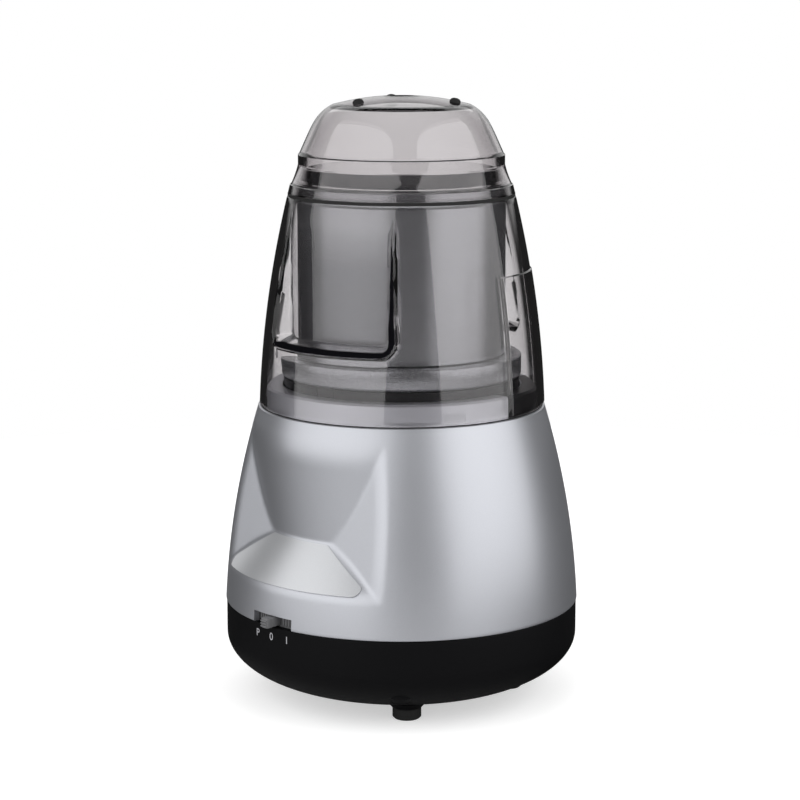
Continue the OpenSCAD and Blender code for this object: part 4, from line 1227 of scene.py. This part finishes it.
    def build_label(self) -> None:
        """Build the thin plate with round corners that fills the panel's lower facet."""
        margin = self.label_margin
        drop = self.panel_valley_z - self.panel_bottom_z
        spread_r = self.side().radius(self.panel_bottom_z) - self.valley_radius()
        length = math.hypot(drop, spread_r)
        top_half = self.valley_radius() * math.radians(self.panel_valley_half) - margin
        low_half = (self.valley_radius() + spread_r) * math.radians(self.panel_half) - 2.6 * margin
        corners = [Vector((top_half, -margin)), Vector((low_half, 0.1 - length))]
        blank = Blank()
        bmesh.ops.create_grid(blank.bm, x_segments=96, y_segments=24, size=1.0,
                              matrix=Matrix.Translation((0, -length / 2, 0))
                              @ Matrix.Diagonal((low_half + 2, length / 2, 1, 1)))
        trim_plate(blank, corners, self.label_corner)
        outward = Vector((drop, spread_r)).normalized()
        raised = set(blank.grow(blank.bm.faces))
        for vert in blank.bm.verts:
            share = -vert.co.y / length
            lift = self.label_thick if vert in raised else 0.02
            radius = self.valley_radius() + spread_r * share
            height = self.panel_valley_z - drop * share
            azimuth = math.degrees(vert.co.x / radius)
            vert.co = polar(radius + outward.x * lift, azimuth, height + outward.y * lift)
        blank.face_out()
        blank.piece("label_panel", LABEL_FOIL, Body.BASE, "label_foil", ["label_plate"])

    def build_legends(self) -> None:
        """Print the switch's three legends on the pan below the slot."""
        pan_r = self.base_r - self.pan_gap
        apart = self.legend_turn
        for letter, name, azimuth in (("P", "pulse", -apart), ("0", "off", 0.0), ("I", "on", apart)):
            blank = letter_blank(letter, self.legend_h)
            place = Matrix.Translation(polar(pan_r + 0.06, azimuth, self.legend_z))
            turn = Matrix.Rotation(math.radians(azimuth), 4, "Z") @ Matrix.Rotation(math.pi / 2, 4, "X")
            bmesh.ops.transform(blank.bm, matrix=place @ turn, verts=blank.bm.verts)
            blank.piece("legend_" + name, LEGEND_INK, Body.BASE, "label_foil")


def trim_plate(blank: Blank, corners: Sequence[Vector], round_off: float) -> None:
    """Cut a flat sheet to a trapezoid with round corners.

    Args:
        blank: Flat sheet in X and Y.
        corners: Right upper and right lower corner.
        round_off: Radius of the corners.
    """
    upper, lower = corners
    slope = (lower - upper).normalized()
    across = Vector((-slope.y, slope.x))
    if across.x < 0:
        across = -across
    cuts = [(upper, Vector((0.0, 1.0))), (lower, Vector((0.0, -1.0))), (upper, across)]
    for corner, first, last in ((upper, Vector((0.0, 1.0)), across), (lower, across, Vector((0.0, -1.0)))):
        turn = first.angle(last)
        centre = corner - (first + last) * (round_off / (1.0 + math.cos(turn)))
        for i in range(1, 8):
            ray = first.slerp(last, i / 8)
            cuts.append((centre + ray * round_off, ray))
    for point, normal in cuts:
        for mirror in (1.0, -1.0):
            geom = [*blank.bm.verts, *blank.bm.edges, *blank.bm.faces]
            bmesh.ops.bisect_plane(blank.bm, geom=geom, dist=WELD / 10, clear_outer=True,
                                   plane_co=(point.x * mirror, point.y, 0.0),
                                   plane_no=(normal.x * mirror, normal.y, 0.0))


def letter_blank(letter: str, height: float) -> Blank:
    """Thin raised letter, centred on the origin and facing +Z.

    Args:
        letter: The letter.
        height: Its height.

    Returns:
        The letter's mesh.
    """
    curve = bpy.data.curves.new("letter", "FONT")
    curve.body = letter
    curve.align_x = "CENTER"
    curve.align_y = "CENTER"
    curve.size = height / 0.72
    text = bpy.data.objects.new("letter", curve)
    bpy.context.scene.collection.objects.link(text)
    seen = text.evaluated_get(bpy.context.evaluated_depsgraph_get())
    flat = bpy.data.meshes.new_from_object(seen)
    bpy.data.objects.remove(text)
    blank = Blank()
    blank.bm.from_mesh(flat)
    raised = blank.grow(blank.bm.faces)
    bmesh.ops.translate(blank.bm, vec=(0.0, 0.0, 0.06), verts=raised)
    blank.face_out()
    return blank


@dataclass
class SwitchGear:
    """Sliding switch: a thumb knob in front of a ribbed curved strip."""

    strip_r: float = 67.0
    strip_low: float = 38.3
    strip_high: float = 42.2
    strip_half: float = 15.5
    rib_turn: float = 1.25
    rib_rise: float = 0.5
    rib_half_w: float = 0.36
    rib_round: float = 0.14
    plain_half_w: float = 0.8
    plain_turn: float = 2.2
    back_half_w: float = 0.9
    back_t: float = 1.6
    back_below: float = 3.5
    back_above: float = 2.6
    knob_root_y: float = -66.5
    knob_tip_y: float = -74.4
    knob_half_w: float = 2.1
    knob_low: float = 38.1
    knob_high: float = 42.1
    thumb_taper: float = 0.86
    ridge_count: int = 3
    ridge_share: float = 0.78
    ridge_step: float = 1.05

    def build(self) -> None:
        """Build the strip with its ribs and the knob, which stand for the sliding switch."""
        blank = Blank()
        self.add_strip(blank)
        self.add_knob(blank)
        blank.piece("switch_knob", KNOB_PLASTIC, Body.SWITCH, "knob_plastic", ["switch_slide"])

    def add_strip(self, blank: Blank) -> None:
        """Add the curved strip and the upright ribs on it.

        Args:
            blank: Switch's mesh.
        """
        count = round(2 * self.strip_half / self.rib_turn)
        for i in range(count + 1):
            azimuth = -self.strip_half + i * self.rib_turn
            ribbed = abs(azimuth) > self.plain_turn
            reach = self.strip_r + (self.rib_rise if ribbed else 0.0)
            half = self.rib_half_w if ribbed else self.plain_half_w
            rib = blank.box((-half, -reach, self.strip_low + 0.3),
                            (half, 1.0 - self.strip_r, self.strip_high - 0.3), self.rib_round)
            blank.turn(rib, azimuth)
            back_low, back_high = self.strip_low - self.back_below, self.strip_high + self.back_above
            back = blank.box((-self.back_half_w, -self.strip_r, back_low),
                             (self.back_half_w, self.back_t - self.strip_r, back_high))
            blank.turn(back, azimuth)

    def add_knob(self, blank: Blank) -> None:
        """Add the knob: a stem through the slot, a thumb block and three ridges across it.

        Args:
            blank: Switch's mesh.
        """
        w, tip, low, high = self.knob_half_w, self.knob_tip_y, self.knob_low, self.knob_high
        blank.box((-w, tip + 3.0, low + 0.3), (w, self.knob_root_y, high - 0.1), 0.3)
        made = blank.box((-w, tip + 0.7, low), (w, tip + 3.4, high), 0.55)
        for vert in made:
            if vert.co.y < tip + 1.5:
                vert.co.x *= self.thumb_taper
        across = w * self.ridge_share
        for i in range(self.ridge_count):
            ridge = low + 0.55 + self.ridge_step * i
            blank.box((-across, tip + 0.2, ridge), (across, tip + 1.2, ridge + 0.6), 0.2)


@dataclass
class Jar:
    """Smoked cover over the bowl, with a grip recess at the front and the back."""

    foot_z: float = 116.6
    foot_r: float = 56.1
    top_z: float = 198.2
    top_r: float = 44.6
    swell: float = 2.1
    wall: float = 2.2
    seat_r: float = 43.5
    seat_z: float = 197.4
    edge_round: float = 0.6
    front: float = 9.7
    grip_half: float = 31.0
    grip_ledge_z: float = 143.9
    grip_floor_r: float = 46.4
    grip_corner: float = 4.6
    grip_draft: float = 0.45
    grip_soft: float = 0.6
    step_start: float = 93.0
    step_end: float = 140.0
    step_z: float = 170.0
    step_rise: float = 0.5
    lug_azimuths: tuple[float, ...] = (67.0, 187.0, 307.0)
    lug_half: float = 4.0
    lug_low: float = 117.8
    lug_high: float = 120.4
    lug_r: float = 51.2
    collar_z: float = 128.3
    collar_h: float = 8.4
    collar_r: float = 47.2
    bowl_r: float = 40.7
    lip_z: float = 203.0
    tab_azimuths: tuple[float, ...] = (7.0, 127.0, 247.0)
    tab_half: float = 4.5
    tab_drop: float = 4.3
    tab_in_r: float = 42.4
    tab_out_r: float = 46.1
    collar_in_r: float = 29.0
    collar_floor: float = 2.0
    crowd_share: float = 0.72
    crowd_width: float = 5.0
    columns: int = 480

    def side(self) -> SwollenCone:
        """Round outer side of the cover."""
        return SwollenCone(self.foot_z, self.foot_r, self.top_z, self.top_r, self.swell)

    def build(self) -> None:
        """Build the cover with its grips, side steps and bayonet lugs."""
        blank = Blank()
        blank.spin(self.outline(), self.columns, True)
        blank.move(self.crowded)
        blank.move(self.gripped)
        self.add_lugs(blank)
        blank.face_out()
        # The cover's finish paints shade on the grip recesses' walls where they are seen edge on.
        finish = GrippedPlastic(
            "gripped_cover_with_painted_shade", *COVER_SMOKE, side=self.side(), floor_r=self.grip_floor_r,
            front=self.front, half=self.grip_half, ledge_z=self.grip_ledge_z, corner=self.grip_corner,
            draft=self.grip_draft)
        blank.piece("cover_shell", finish, Body.JAR, "smoked_plastic", ["cover"])
        self.build_collar()
        self.build_lip()

    def build_lip(self) -> None:
        """Build the rolled edge round the bowl's rim."""
        blank = Blank()
        blank.spin(arc((self.bowl_r - 0.15, self.lip_z - 0.5), 0.5, -170, 170, 12), 240, True)
        blank.piece("bowl_lip", PLATED_STEEL, Body.JAR, "bowl_metal")

    def build_collar(self) -> None:
        """Build the collar round the bowl's foot, with the tabs that turn the lock ring."""
        blank = Blank()
        low, high, out, soft = self.collar_z, self.collar_z + self.collar_h, self.collar_r, self.edge_round
        blank.spin([
            (self.collar_in_r, low), (self.tab_in_r, low), (self.tab_out_r, low), (out - 0.9, low),
            (out - 0.3, low + 0.4), (out, low + 1.2), *arc((out - soft, high - soft), soft, 0, 90, 4),
            (self.bowl_r + 0.1, high), (self.bowl_r + 0.1, low + self.collar_floor),
            (self.collar_in_r, low + self.collar_floor)], 240, True)
        for azimuth in self.tab_azimuths:
            start, end = azimuth - self.tab_half, azimuth + self.tab_half
            for edge in (start, end):
                blank.cut_meridian(edge, low - 0.1, low + 0.1, self.collar_in_r + 1.0)
            made = blank.patch(start, end, low - 0.1, low + 0.1, self.tab_in_r - 0.4)
            made = [f for f in made if math.hypot(*f.calc_center_median().xy) < self.tab_out_r + 0.1]
            bmesh.ops.translate(blank.bm, vec=(0, 0, -self.tab_drop), verts=blank.grow(made))
        blank.face_out()
        for face in blank.bm.faces:
            if face.calc_center_median().z < low - 0.2:
                face.material_index = 1
        collar = blank.piece("collar_band", GREY_PLASTIC, Body.JAR, "grey_plastic", ["bowl_collar"])
        collar.data.materials.append(LOCK_PLASTIC.material())

    def heights(self) -> list[float]:
        """Heights of the rows, close together round the grip's ledge and the side step.

        Returns:
            The heights, from the foot upwards.
        """
        ledge = self.grip_ledge_z
        rows = [*spread(self.foot_z + self.edge_round, self.lug_low, 0.6), self.lug_high]
        rows += spread(self.lug_high, ledge - 3.0, 3.0)[1:]
        rows += spread(ledge - 3.0, ledge + 6.0, 0.35)[1:]
        rows += spread(ledge + 6.0, self.step_z - 1.0, 1.2)[1:]
        rows += spread(self.step_z - 1.0, self.step_z + 1.0, 0.25)[1:]
        return rows + spread(self.step_z + 1.0, self.seat_z, 1.3)[1:]

    def outline(self) -> list[Point]:
        """Closed section of the cover's wall.

        Returns:
            Points of radius and height.
        """
        side = self.side()
        soft = self.edge_round
        rows = self.heights()
        outside = [(side.radius(z), z) for z in rows]
        inside = [(side.radius(z) - self.wall, z) for z in reversed(rows)]
        top = arc((self.top_r - 0.3, self.top_z - 0.3), 0.3, 0, 90, 3)
        foot_out = arc((side.radius(rows[0]) - soft, rows[0]), soft, -90, 0, 4)
        foot_in = arc((side.radius(rows[0]) - self.wall + soft, rows[0]), soft, 180, 270, 4)
        return [*outside, *top, (self.seat_r, self.top_z), (self.seat_r, self.seat_z), *inside,
                *foot_in[1:], *foot_out[:-1]]

    def crowded(self, azimuth: float, radius: float, height: float) -> Point:
        """Crowd the columns together at the grips' upright walls.

        Args:
            azimuth: Azimuth of a vertex.
            radius: Radius of the vertex.
            height: Height of the vertex.

        Returns:
            The new azimuth and the radius.
        """
        for centre in (0.0, 180.0):
            for sign in (1.0, -1.0):
                away = turn_between(azimuth, self.front + centre + sign * self.grip_half)
                azimuth -= away * self.crowd_share * math.exp(-((away / self.crowd_width) ** 2))
        return azimuth, radius

    def grip_reach(self, azimuth: float, height: float) -> float:
        """Distance of a place inside a grip recess's edge, at half its depth.

        Args:
            azimuth: Azimuth of the place.
            height: Height of the place.

        Returns:
            The distance, negative outside the recess.
        """
        fronts = (self.front, self.front + 180.0)
        off_front = min(abs(turn_between(azimuth, front)) for front in fronts)
        scale = math.radians(self.side().radius(height))
        along = (self.grip_half - off_front) * scale
        above = height - self.grip_ledge_z
        corner = self.grip_corner
        if along < corner and above < corner:
            return corner - math.hypot(corner - along, corner - above)
        return min(along, above)

    def gripped(self, azimuth: float, radius: float, height: float) -> Point:
        """Press the grips into the cover's two sides and raise the step on its right.

        Args:
            azimuth: Azimuth of a vertex.
            radius: Radius of the vertex.
            height: Height of the vertex.

        Returns:
            The azimuth and the new radius.
        """
        side_r = self.side().radius(height)
        inner = radius < side_r - self.wall / 2
        if height > self.foot_z + 6.0 and radius < side_r + WELD:
            behind = self.wall * math.hypot(1.0, self.grip_draft) if inner else 0.0
            reach = self.grip_reach(azimuth, height) + behind
            slope = (side_r + self.grip_floor_r) / 2 - reach / self.grip_draft
            floor = self.grip_floor_r - (self.wall if inner else 0.0)
            radius = soft_min(radius, soft_max(floor, slope, self.grip_soft), self.grip_soft)
        if not inner and self.foot_z + 1.0 < height < self.seat_z:
            radius += self.step_rise * self.step_share(azimuth, height)
        return azimuth, radius

    def step_share(self, azimuth: float, height: float) -> float:
        """Share of the raised step at a place on the cover's outside.

        Args:
            azimuth: Azimuth of the place.
            height: Height of the place.

        Returns:
            The share, from 0 to 1.
        """
        across = min(azimuth - self.step_start, self.step_end - azimuth)
        below = (self.step_z - height) / 0.5
        return unit_step(across + 0.5) * unit_step(below + 0.5)

    def add_lugs(self, blank: Blank) -> None:
        """Raise the three lugs inside the cover's foot.

        Args:
            blank: Cover's mesh.
        """
        for azimuth in self.lug_azimuths:
            start, end = azimuth - self.lug_half, azimuth + self.lug_half
            faces = blank.patch(start, end, self.lug_low, self.lug_high, 50.0)
            middle_r = self.foot_r - self.wall / 2
            inner = [f for f in faces if math.hypot(*f.calc_center_median().xy) < middle_r]
            blank.pocket(inner, self.lug_r)


@dataclass
class Cap:
    """Smoked domed cap with a concave flare above its rim band and a shallow dimple on top."""

    foot_z: float = 199.5
    flare_z: float = 202.9
    upright_z: float = 210.5
    dome_z: float = 214.7
    crease_z: float = 233.4
    top_z: float = 236.9
    band_r: float = 40.3
    dome_r: float = 39.8
    crease_r: float = 27.0
    crease_drop: float = 3.5
    dimple_r: float = 7.3
    dimple_drop: float = 0.7
    wall: float = 1.8
    nub_ring_r: float = 21.8
    nub_azimuths: tuple[float, ...] = (-4.0, 116.0, 236.0)
    nub_section: tuple[Point, ...] = (
        (0.0, -0.1), (2.2, -0.1), (2.2, 0.25), (2.0, 0.8), (1.6, 1.3), (0.9, 1.6), (0.0, 1.7))
    columns: int = 240

    def build(self, cover: SwollenCone) -> None:
        """Build the cap's shell.

        Args:
            cover: Side of the cover, which the cap's rim carries on.
        """
        blank = Blank()
        outside = self.section(cover, 0.0)
        inside = self.section(cover, self.wall)
        blank.spin([*outside, *reversed(inside)], self.columns, False)
        rims = [edge for edge in blank.bm.edges if edge.is_boundary]
        bmesh.ops.bridge_loops(blank.bm, edges=rims)
        blank.face_out()
        blank.piece("cap_shell", SMOKED_CAP, Body.CAP, "smoked_plastic", ["cap"])
        self.build_nubs()

    def section(self, cover: SwollenCone, inset: float) -> list[Point]:
        """Section of the cap's outside, moved inwards by an inset.

        Args:
            cover: Side of the cover below.
            inset: Distance inwards.

        Returns:
            Points from the foot to the middle of the top.
        """
        flare_top = cover.radius(self.flare_z) - 0.4
        band = [(cover.radius(z) - inset, z) for z in spread(self.foot_z, self.flare_z - 0.2, 0.9)]
        flare_rows = spread(self.flare_z, self.upright_z, 0.5)
        flare = [(self.flare_radius(z, flare_top) - inset, z) for z in flare_rows]
        dome_top = self.crease_z - 0.8 * inset
        dome = [(self.dome_radius(z) - inset, z) for z in spread(self.dome_z, dome_top, 0.6)]
        crown_rows = spread(self.crease_r - 0.7 - inset, self.dimple_r, 0.8)
        crown = [(r, self.crown_height(r) - inset) for r in crown_rows]
        dip = self.crown_height(self.dimple_r) - inset
        dimple = [(self.dimple_r - 0.5, dip - 0.35), (self.dimple_r - 1.2, dip - 0.55),
                  (3.0, dip - self.dimple_drop), (0.0, dip - self.dimple_drop)]
        step = [(self.band_r - inset, self.dome_z - 0.5)]
        return band + flare + step + dome + crown + dimple

    def build_nubs(self) -> None:
        """Build the three small domes that stand on the crown."""
        blank = Blank()
        ring = self.nub_ring_r
        lean = math.atan2(2 * self.crease_drop * ring, self.crease_r ** 2)
        for azimuth in self.nub_azimuths:
            nub = Blank()
            nub.spin(self.nub_section, 32)
            tilt = Matrix.Rotation(math.radians(azimuth), 4, "Z") @ Matrix.Rotation(lean, 4, "X")
            place = Matrix.Translation(polar(ring, azimuth, self.crown_height(ring)))
            bmesh.ops.transform(nub.bm, matrix=place @ tilt, verts=nub.bm.verts)
            blank.add(nub)
        blank.piece("cap_buttons", BLACK_RUBBER, Body.CAP, "black_rubber", ["cap_nubs"])

    def flare_radius(self, height: float, flare_top: float) -> float:
        """Radius of the concave flare."""
        t = (height - self.flare_z) / (self.upright_z - self.flare_z)
        return flare_top + (self.band_r - flare_top) * (t + 0.35 * t * (1 - t))

    def dome_radius(self, height: float) -> float:
        """Radius of the dome, fuller towards the top."""
        t = (height - self.dome_z) / (self.crease_z - self.dome_z)
        return self.dome_r + (self.crease_r - self.dome_r) * (0.66 * t + 0.34 * t ** 6)

    def crown_height(self, radius: float) -> float:
        """Height of the crown over a radius."""
        return self.top_z - self.crease_drop * (radius / self.crease_r) ** 2


@dataclass
class Interlock:
    """Return spring of the interlock's pin, wound at its resting length."""

    turns: int = 5
    wire_r: float = 0.35
    mean_r: float = 2.95
    azimuth: float = 150.0
    ring_r: float = 44.25
    travel: float = 2.5
    steps: int = 180

    def build(self) -> None:
        """Wind the spring between its switch and the pin's flange."""
        low, high = (corner[2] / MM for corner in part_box("interlock_spring"))
        rise = high - low - 2 * self.wire_r
        centre = polar(self.ring_r, self.azimuth, low + self.wire_r)
        blank = Blank()
        upright = Matrix.Translation((self.mean_r, 0.0, 0.0)) @ Matrix.Rotation(math.pi / 2, 4, "X")
        bmesh.ops.create_circle(blank.bm, segments=12, radius=self.wire_r, matrix=upright)
        bmesh.ops.spin(blank.bm, geom=[*blank.bm.verts, *blank.bm.edges], cent=(0, 0, 0), axis=(0, 0, 1),
                       dvec=(0, 0, rise / self.steps), angle=math.tau * self.turns, steps=self.steps)
        bmesh.ops.holes_fill(blank.bm, edges=[e for e in blank.bm.edges if e.is_boundary], sides=0)
        blank.face_out()
        bmesh.ops.translate(blank.bm, vec=centre, verts=blank.bm.verts)
        spring = blank.piece("pin_spring", PLATED_STEEL, Body.BASE, "plated_steel", ["interlock_spring"])
        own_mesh(spring)


class CarriedNodes:
    """Nodes of the frame that keep their own shape and only get a finish."""

    finishes: dict[Finish, tuple[str, ...]] = {
        BLACK_RUBBER: ("rubber_feet", "cord_gland", "motor_isolators", "deck_seal", "seat_seal",
                       "shaft_seal"),
        CLEAR_RUBBER: ("rim_seal",),
        PLATED_STEEL: ("housing_screws", "switch_screws", "motor_bolts", "motor_nuts", "motor_screws",
                       "motor_shaft", "collar_screws", "blade_shaft", "blade_spacer", "blade_nut",
                       "interlock_bracket", "top_bearing", "low_bearing"),
        DARK_PLASTIC: ("switch_body", "cooling_fan", "interlock_switch"),
        WHITE_PLASTIC: ("interlock_pin", "drive_coupling", "driven_coupling", "thrust_washer"),
        LAMINATION: ("stator_core", "armature_core"),
        COPPER: ("field_coils", "armature_windings", "commutator"),
        CAST_METAL: ("top_bracket", "low_bracket"),
        BRONZE: ("shaft_bush", "brush_springs"),
        BAKELITE: ("brush_holders",),
        CARBON: ("carbon_brushes",),
        LOCK_PLASTIC: ("lock_ring",),
        BOWL_METAL: ("bowl",),
        BLADE_STEEL: ("blade",),
    }

    def dress(self) -> None:
        """Give every carried node its finish."""
        for finish, names in self.finishes.items():
            for name in names:
                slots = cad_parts[name].data.materials
                slots.clear()
                slots.append(finish.material())
                LOG.info("%s: %s", name, finish.name)


# Studio


@dataclass(frozen=True)
class Softbox:
    """A large soft lamp that faces the object."""

    name: str
    azimuth: float
    distance: float
    height: float
    width: float
    tall: float
    radiance: float
    seen_through: bool = True

    def build(self, aim: float) -> None:
        """Hang the lamp and turn it to a height on the axis.

        Args:
            aim: Height that it faces, in metres.
        """
        lamp = bpy.data.lights.new(self.name, "AREA")
        lamp.shape = "RECTANGLE"
        lamp.size = self.width
        lamp.size_y = self.tall
        lamp.energy = self.radiance * math.pi * self.width * self.tall
        box = bpy.data.objects.new(self.name, lamp)
        box.location = polar(self.distance, self.azimuth, self.height)
        box.rotation_euler = (Vector((0, 0, aim)) - box.location).to_track_quat("-Z", "Y").to_euler()
        box.visible_camera = False
        box.visible_transmission = self.seen_through
        bpy.context.scene.collection.objects.link(box)


@dataclass
class Studio:
    """Pale floor, soft lamps, white surroundings and the camera at the photograph's place."""

    camera_azimuth: float = 45.2
    camera_reach: float = 908.3
    camera_height: float = 283.0
    camera_pitch: float = 10.36
    focal_px: float = 2328.9
    frame_px: float = 800.0
    axis_px: float = 401.5
    sensor: float = 36.0
    floor_r: float = 0.56
    diffuse_fill: float = 0.6
    mirror_front: float = 0.13
    mirror_back: float = 0.02
    mirror_sky: float = 0.8
    panel_count: int = 8
    panel_gap_light: float = 0.04
    lamp_aim: float = 0.13
    lamps: tuple[Softbox, ...] = (
        Softbox("left_softbox", -9.0, 1.1, 0.57, 2.3, 1.5, 1.4),
        Softbox("right_softbox", 110.0, 1.1, 0.57, 1.75, 1.5, 1.6),
        Softbox("back_softbox", 226.0, 1.4, 1.35, 1.6, 0.9, 1.1, False),
    )

    def build(self) -> None:
        """Set up the studio."""
        bpy.context.scene.view_settings.view_transform = "Standard"
        self.build_floor()
        for lamp in self.lamps:
            lamp.build(self.lamp_aim)
        self.build_world()
        self.build_camera()

    def build_floor(self) -> None:
        """Lay the pale round table top that the object stands on."""
        bm = bmesh.new()
        bmesh.ops.create_circle(bm, cap_ends=True, segments=96, radius=self.floor_r)
        mesh = bpy.data.meshes.new("floor")
        bm.to_mesh(mesh)
        bm.free()
        floor = bpy.data.objects.new("floor", mesh)
        bpy.context.scene.collection.objects.link(floor)
        mesh.materials.append(FLOOR_WHITE.material())

    def build_world(self) -> None:
        """Surround the object with white panels, which the camera sees as one white ground.

        Clear plastic shows the panels and the dark gaps between them. Other surfaces get a soft even fill.
        """
        world = bpy.data.worlds.new("studio_white")
        world.cycles.sampling_method = "NONE"
        bpy.context.scene.world = world
        shader = Shader(world)
        towards = shader.node("ShaderNodeTexCoord").outputs["Generated"]
        split = shader.node("ShaderNodeSeparateXYZ", None, {0: towards})
        x, y, z = (Value(shader, socket) for socket in split.outputs)
        azimuth = x.angle_over(y * -1.0) - math.radians(self.camera_azimuth)
        ahead = azimuth.cosine()
        open_side = (0.5 - ahead * 6.0).share().most((ahead * 40.0 - 38.2).share())
        panels = ((azimuth * self.panel_count).cosine() * 3.0 + 0.6).share() * open_side
        panels = panels.most((z * 4.0 - 1.4).share()).most(self.panel_gap_light)
        camera = shader.ray("Is Camera Ray")
        crossed = shader.ray("Is Transmission Ray")
        bounced = shader.ray("Glossy Depth").least(1.0)
        through = crossed * (1.0 - bounced)
        mirrored = shader.ray("Is Glossy Ray")
        sky = (z * 25.0 - 0.4).share() * (1.5 - z * 2.2).share() * (ahead * -6.0 - 3.8).share()
        front = (ahead * 1.6).share() * self.mirror_front
        polished = (sky * self.mirror_sky).most(front).most(self.mirror_back)
        plain = 1.0 - mirrored.most(crossed)
        rest = plain * self.diffuse_fill + mirrored * polished
        strength = camera.most(through * panels + (1.0 - through) * rest)
        ground = shader.node("ShaderNodeBackground", None, {"Color": (1, 1, 1, 1), "Strength": strength})
        shader.node("ShaderNodeOutputWorld", None, {"Surface": ground.outputs[0]})

    def build_camera(self) -> None:
        """Place the camera where the photograph was taken from."""
        lens = bpy.data.cameras.new("camera")
        lens.sensor_width = self.sensor
        lens.lens = self.focal_px * self.sensor / self.frame_px
        lens.clip_start = 0.01
        camera = bpy.data.objects.new("camera", lens)
        yaw = math.degrees(math.atan((self.axis_px - self.frame_px / 2) / self.focal_px))
        camera.location = polar(self.camera_reach * MM, self.camera_azimuth, self.camera_height * MM)
        camera.rotation_euler = (math.radians(90.0 - self.camera_pitch), 0.0,
                                 math.radians(self.camera_azimuth + yaw))
        bpy.context.scene.collection.objects.link(camera)
        bpy.context.scene.camera = camera


def main() -> None:
    """Build the studio and every piece of the grinder."""
    logging.basicConfig(level=logging.INFO, format="%(name)s: %(message)s")
    Studio().build()
    MotorBase().build()
    SwitchGear().build()
    jar = Jar()
    jar.build()
    Cap().build(jar.side())
    Interlock().build()
    CarriedNodes().dress()


if __name__ == "__main__":
    main()
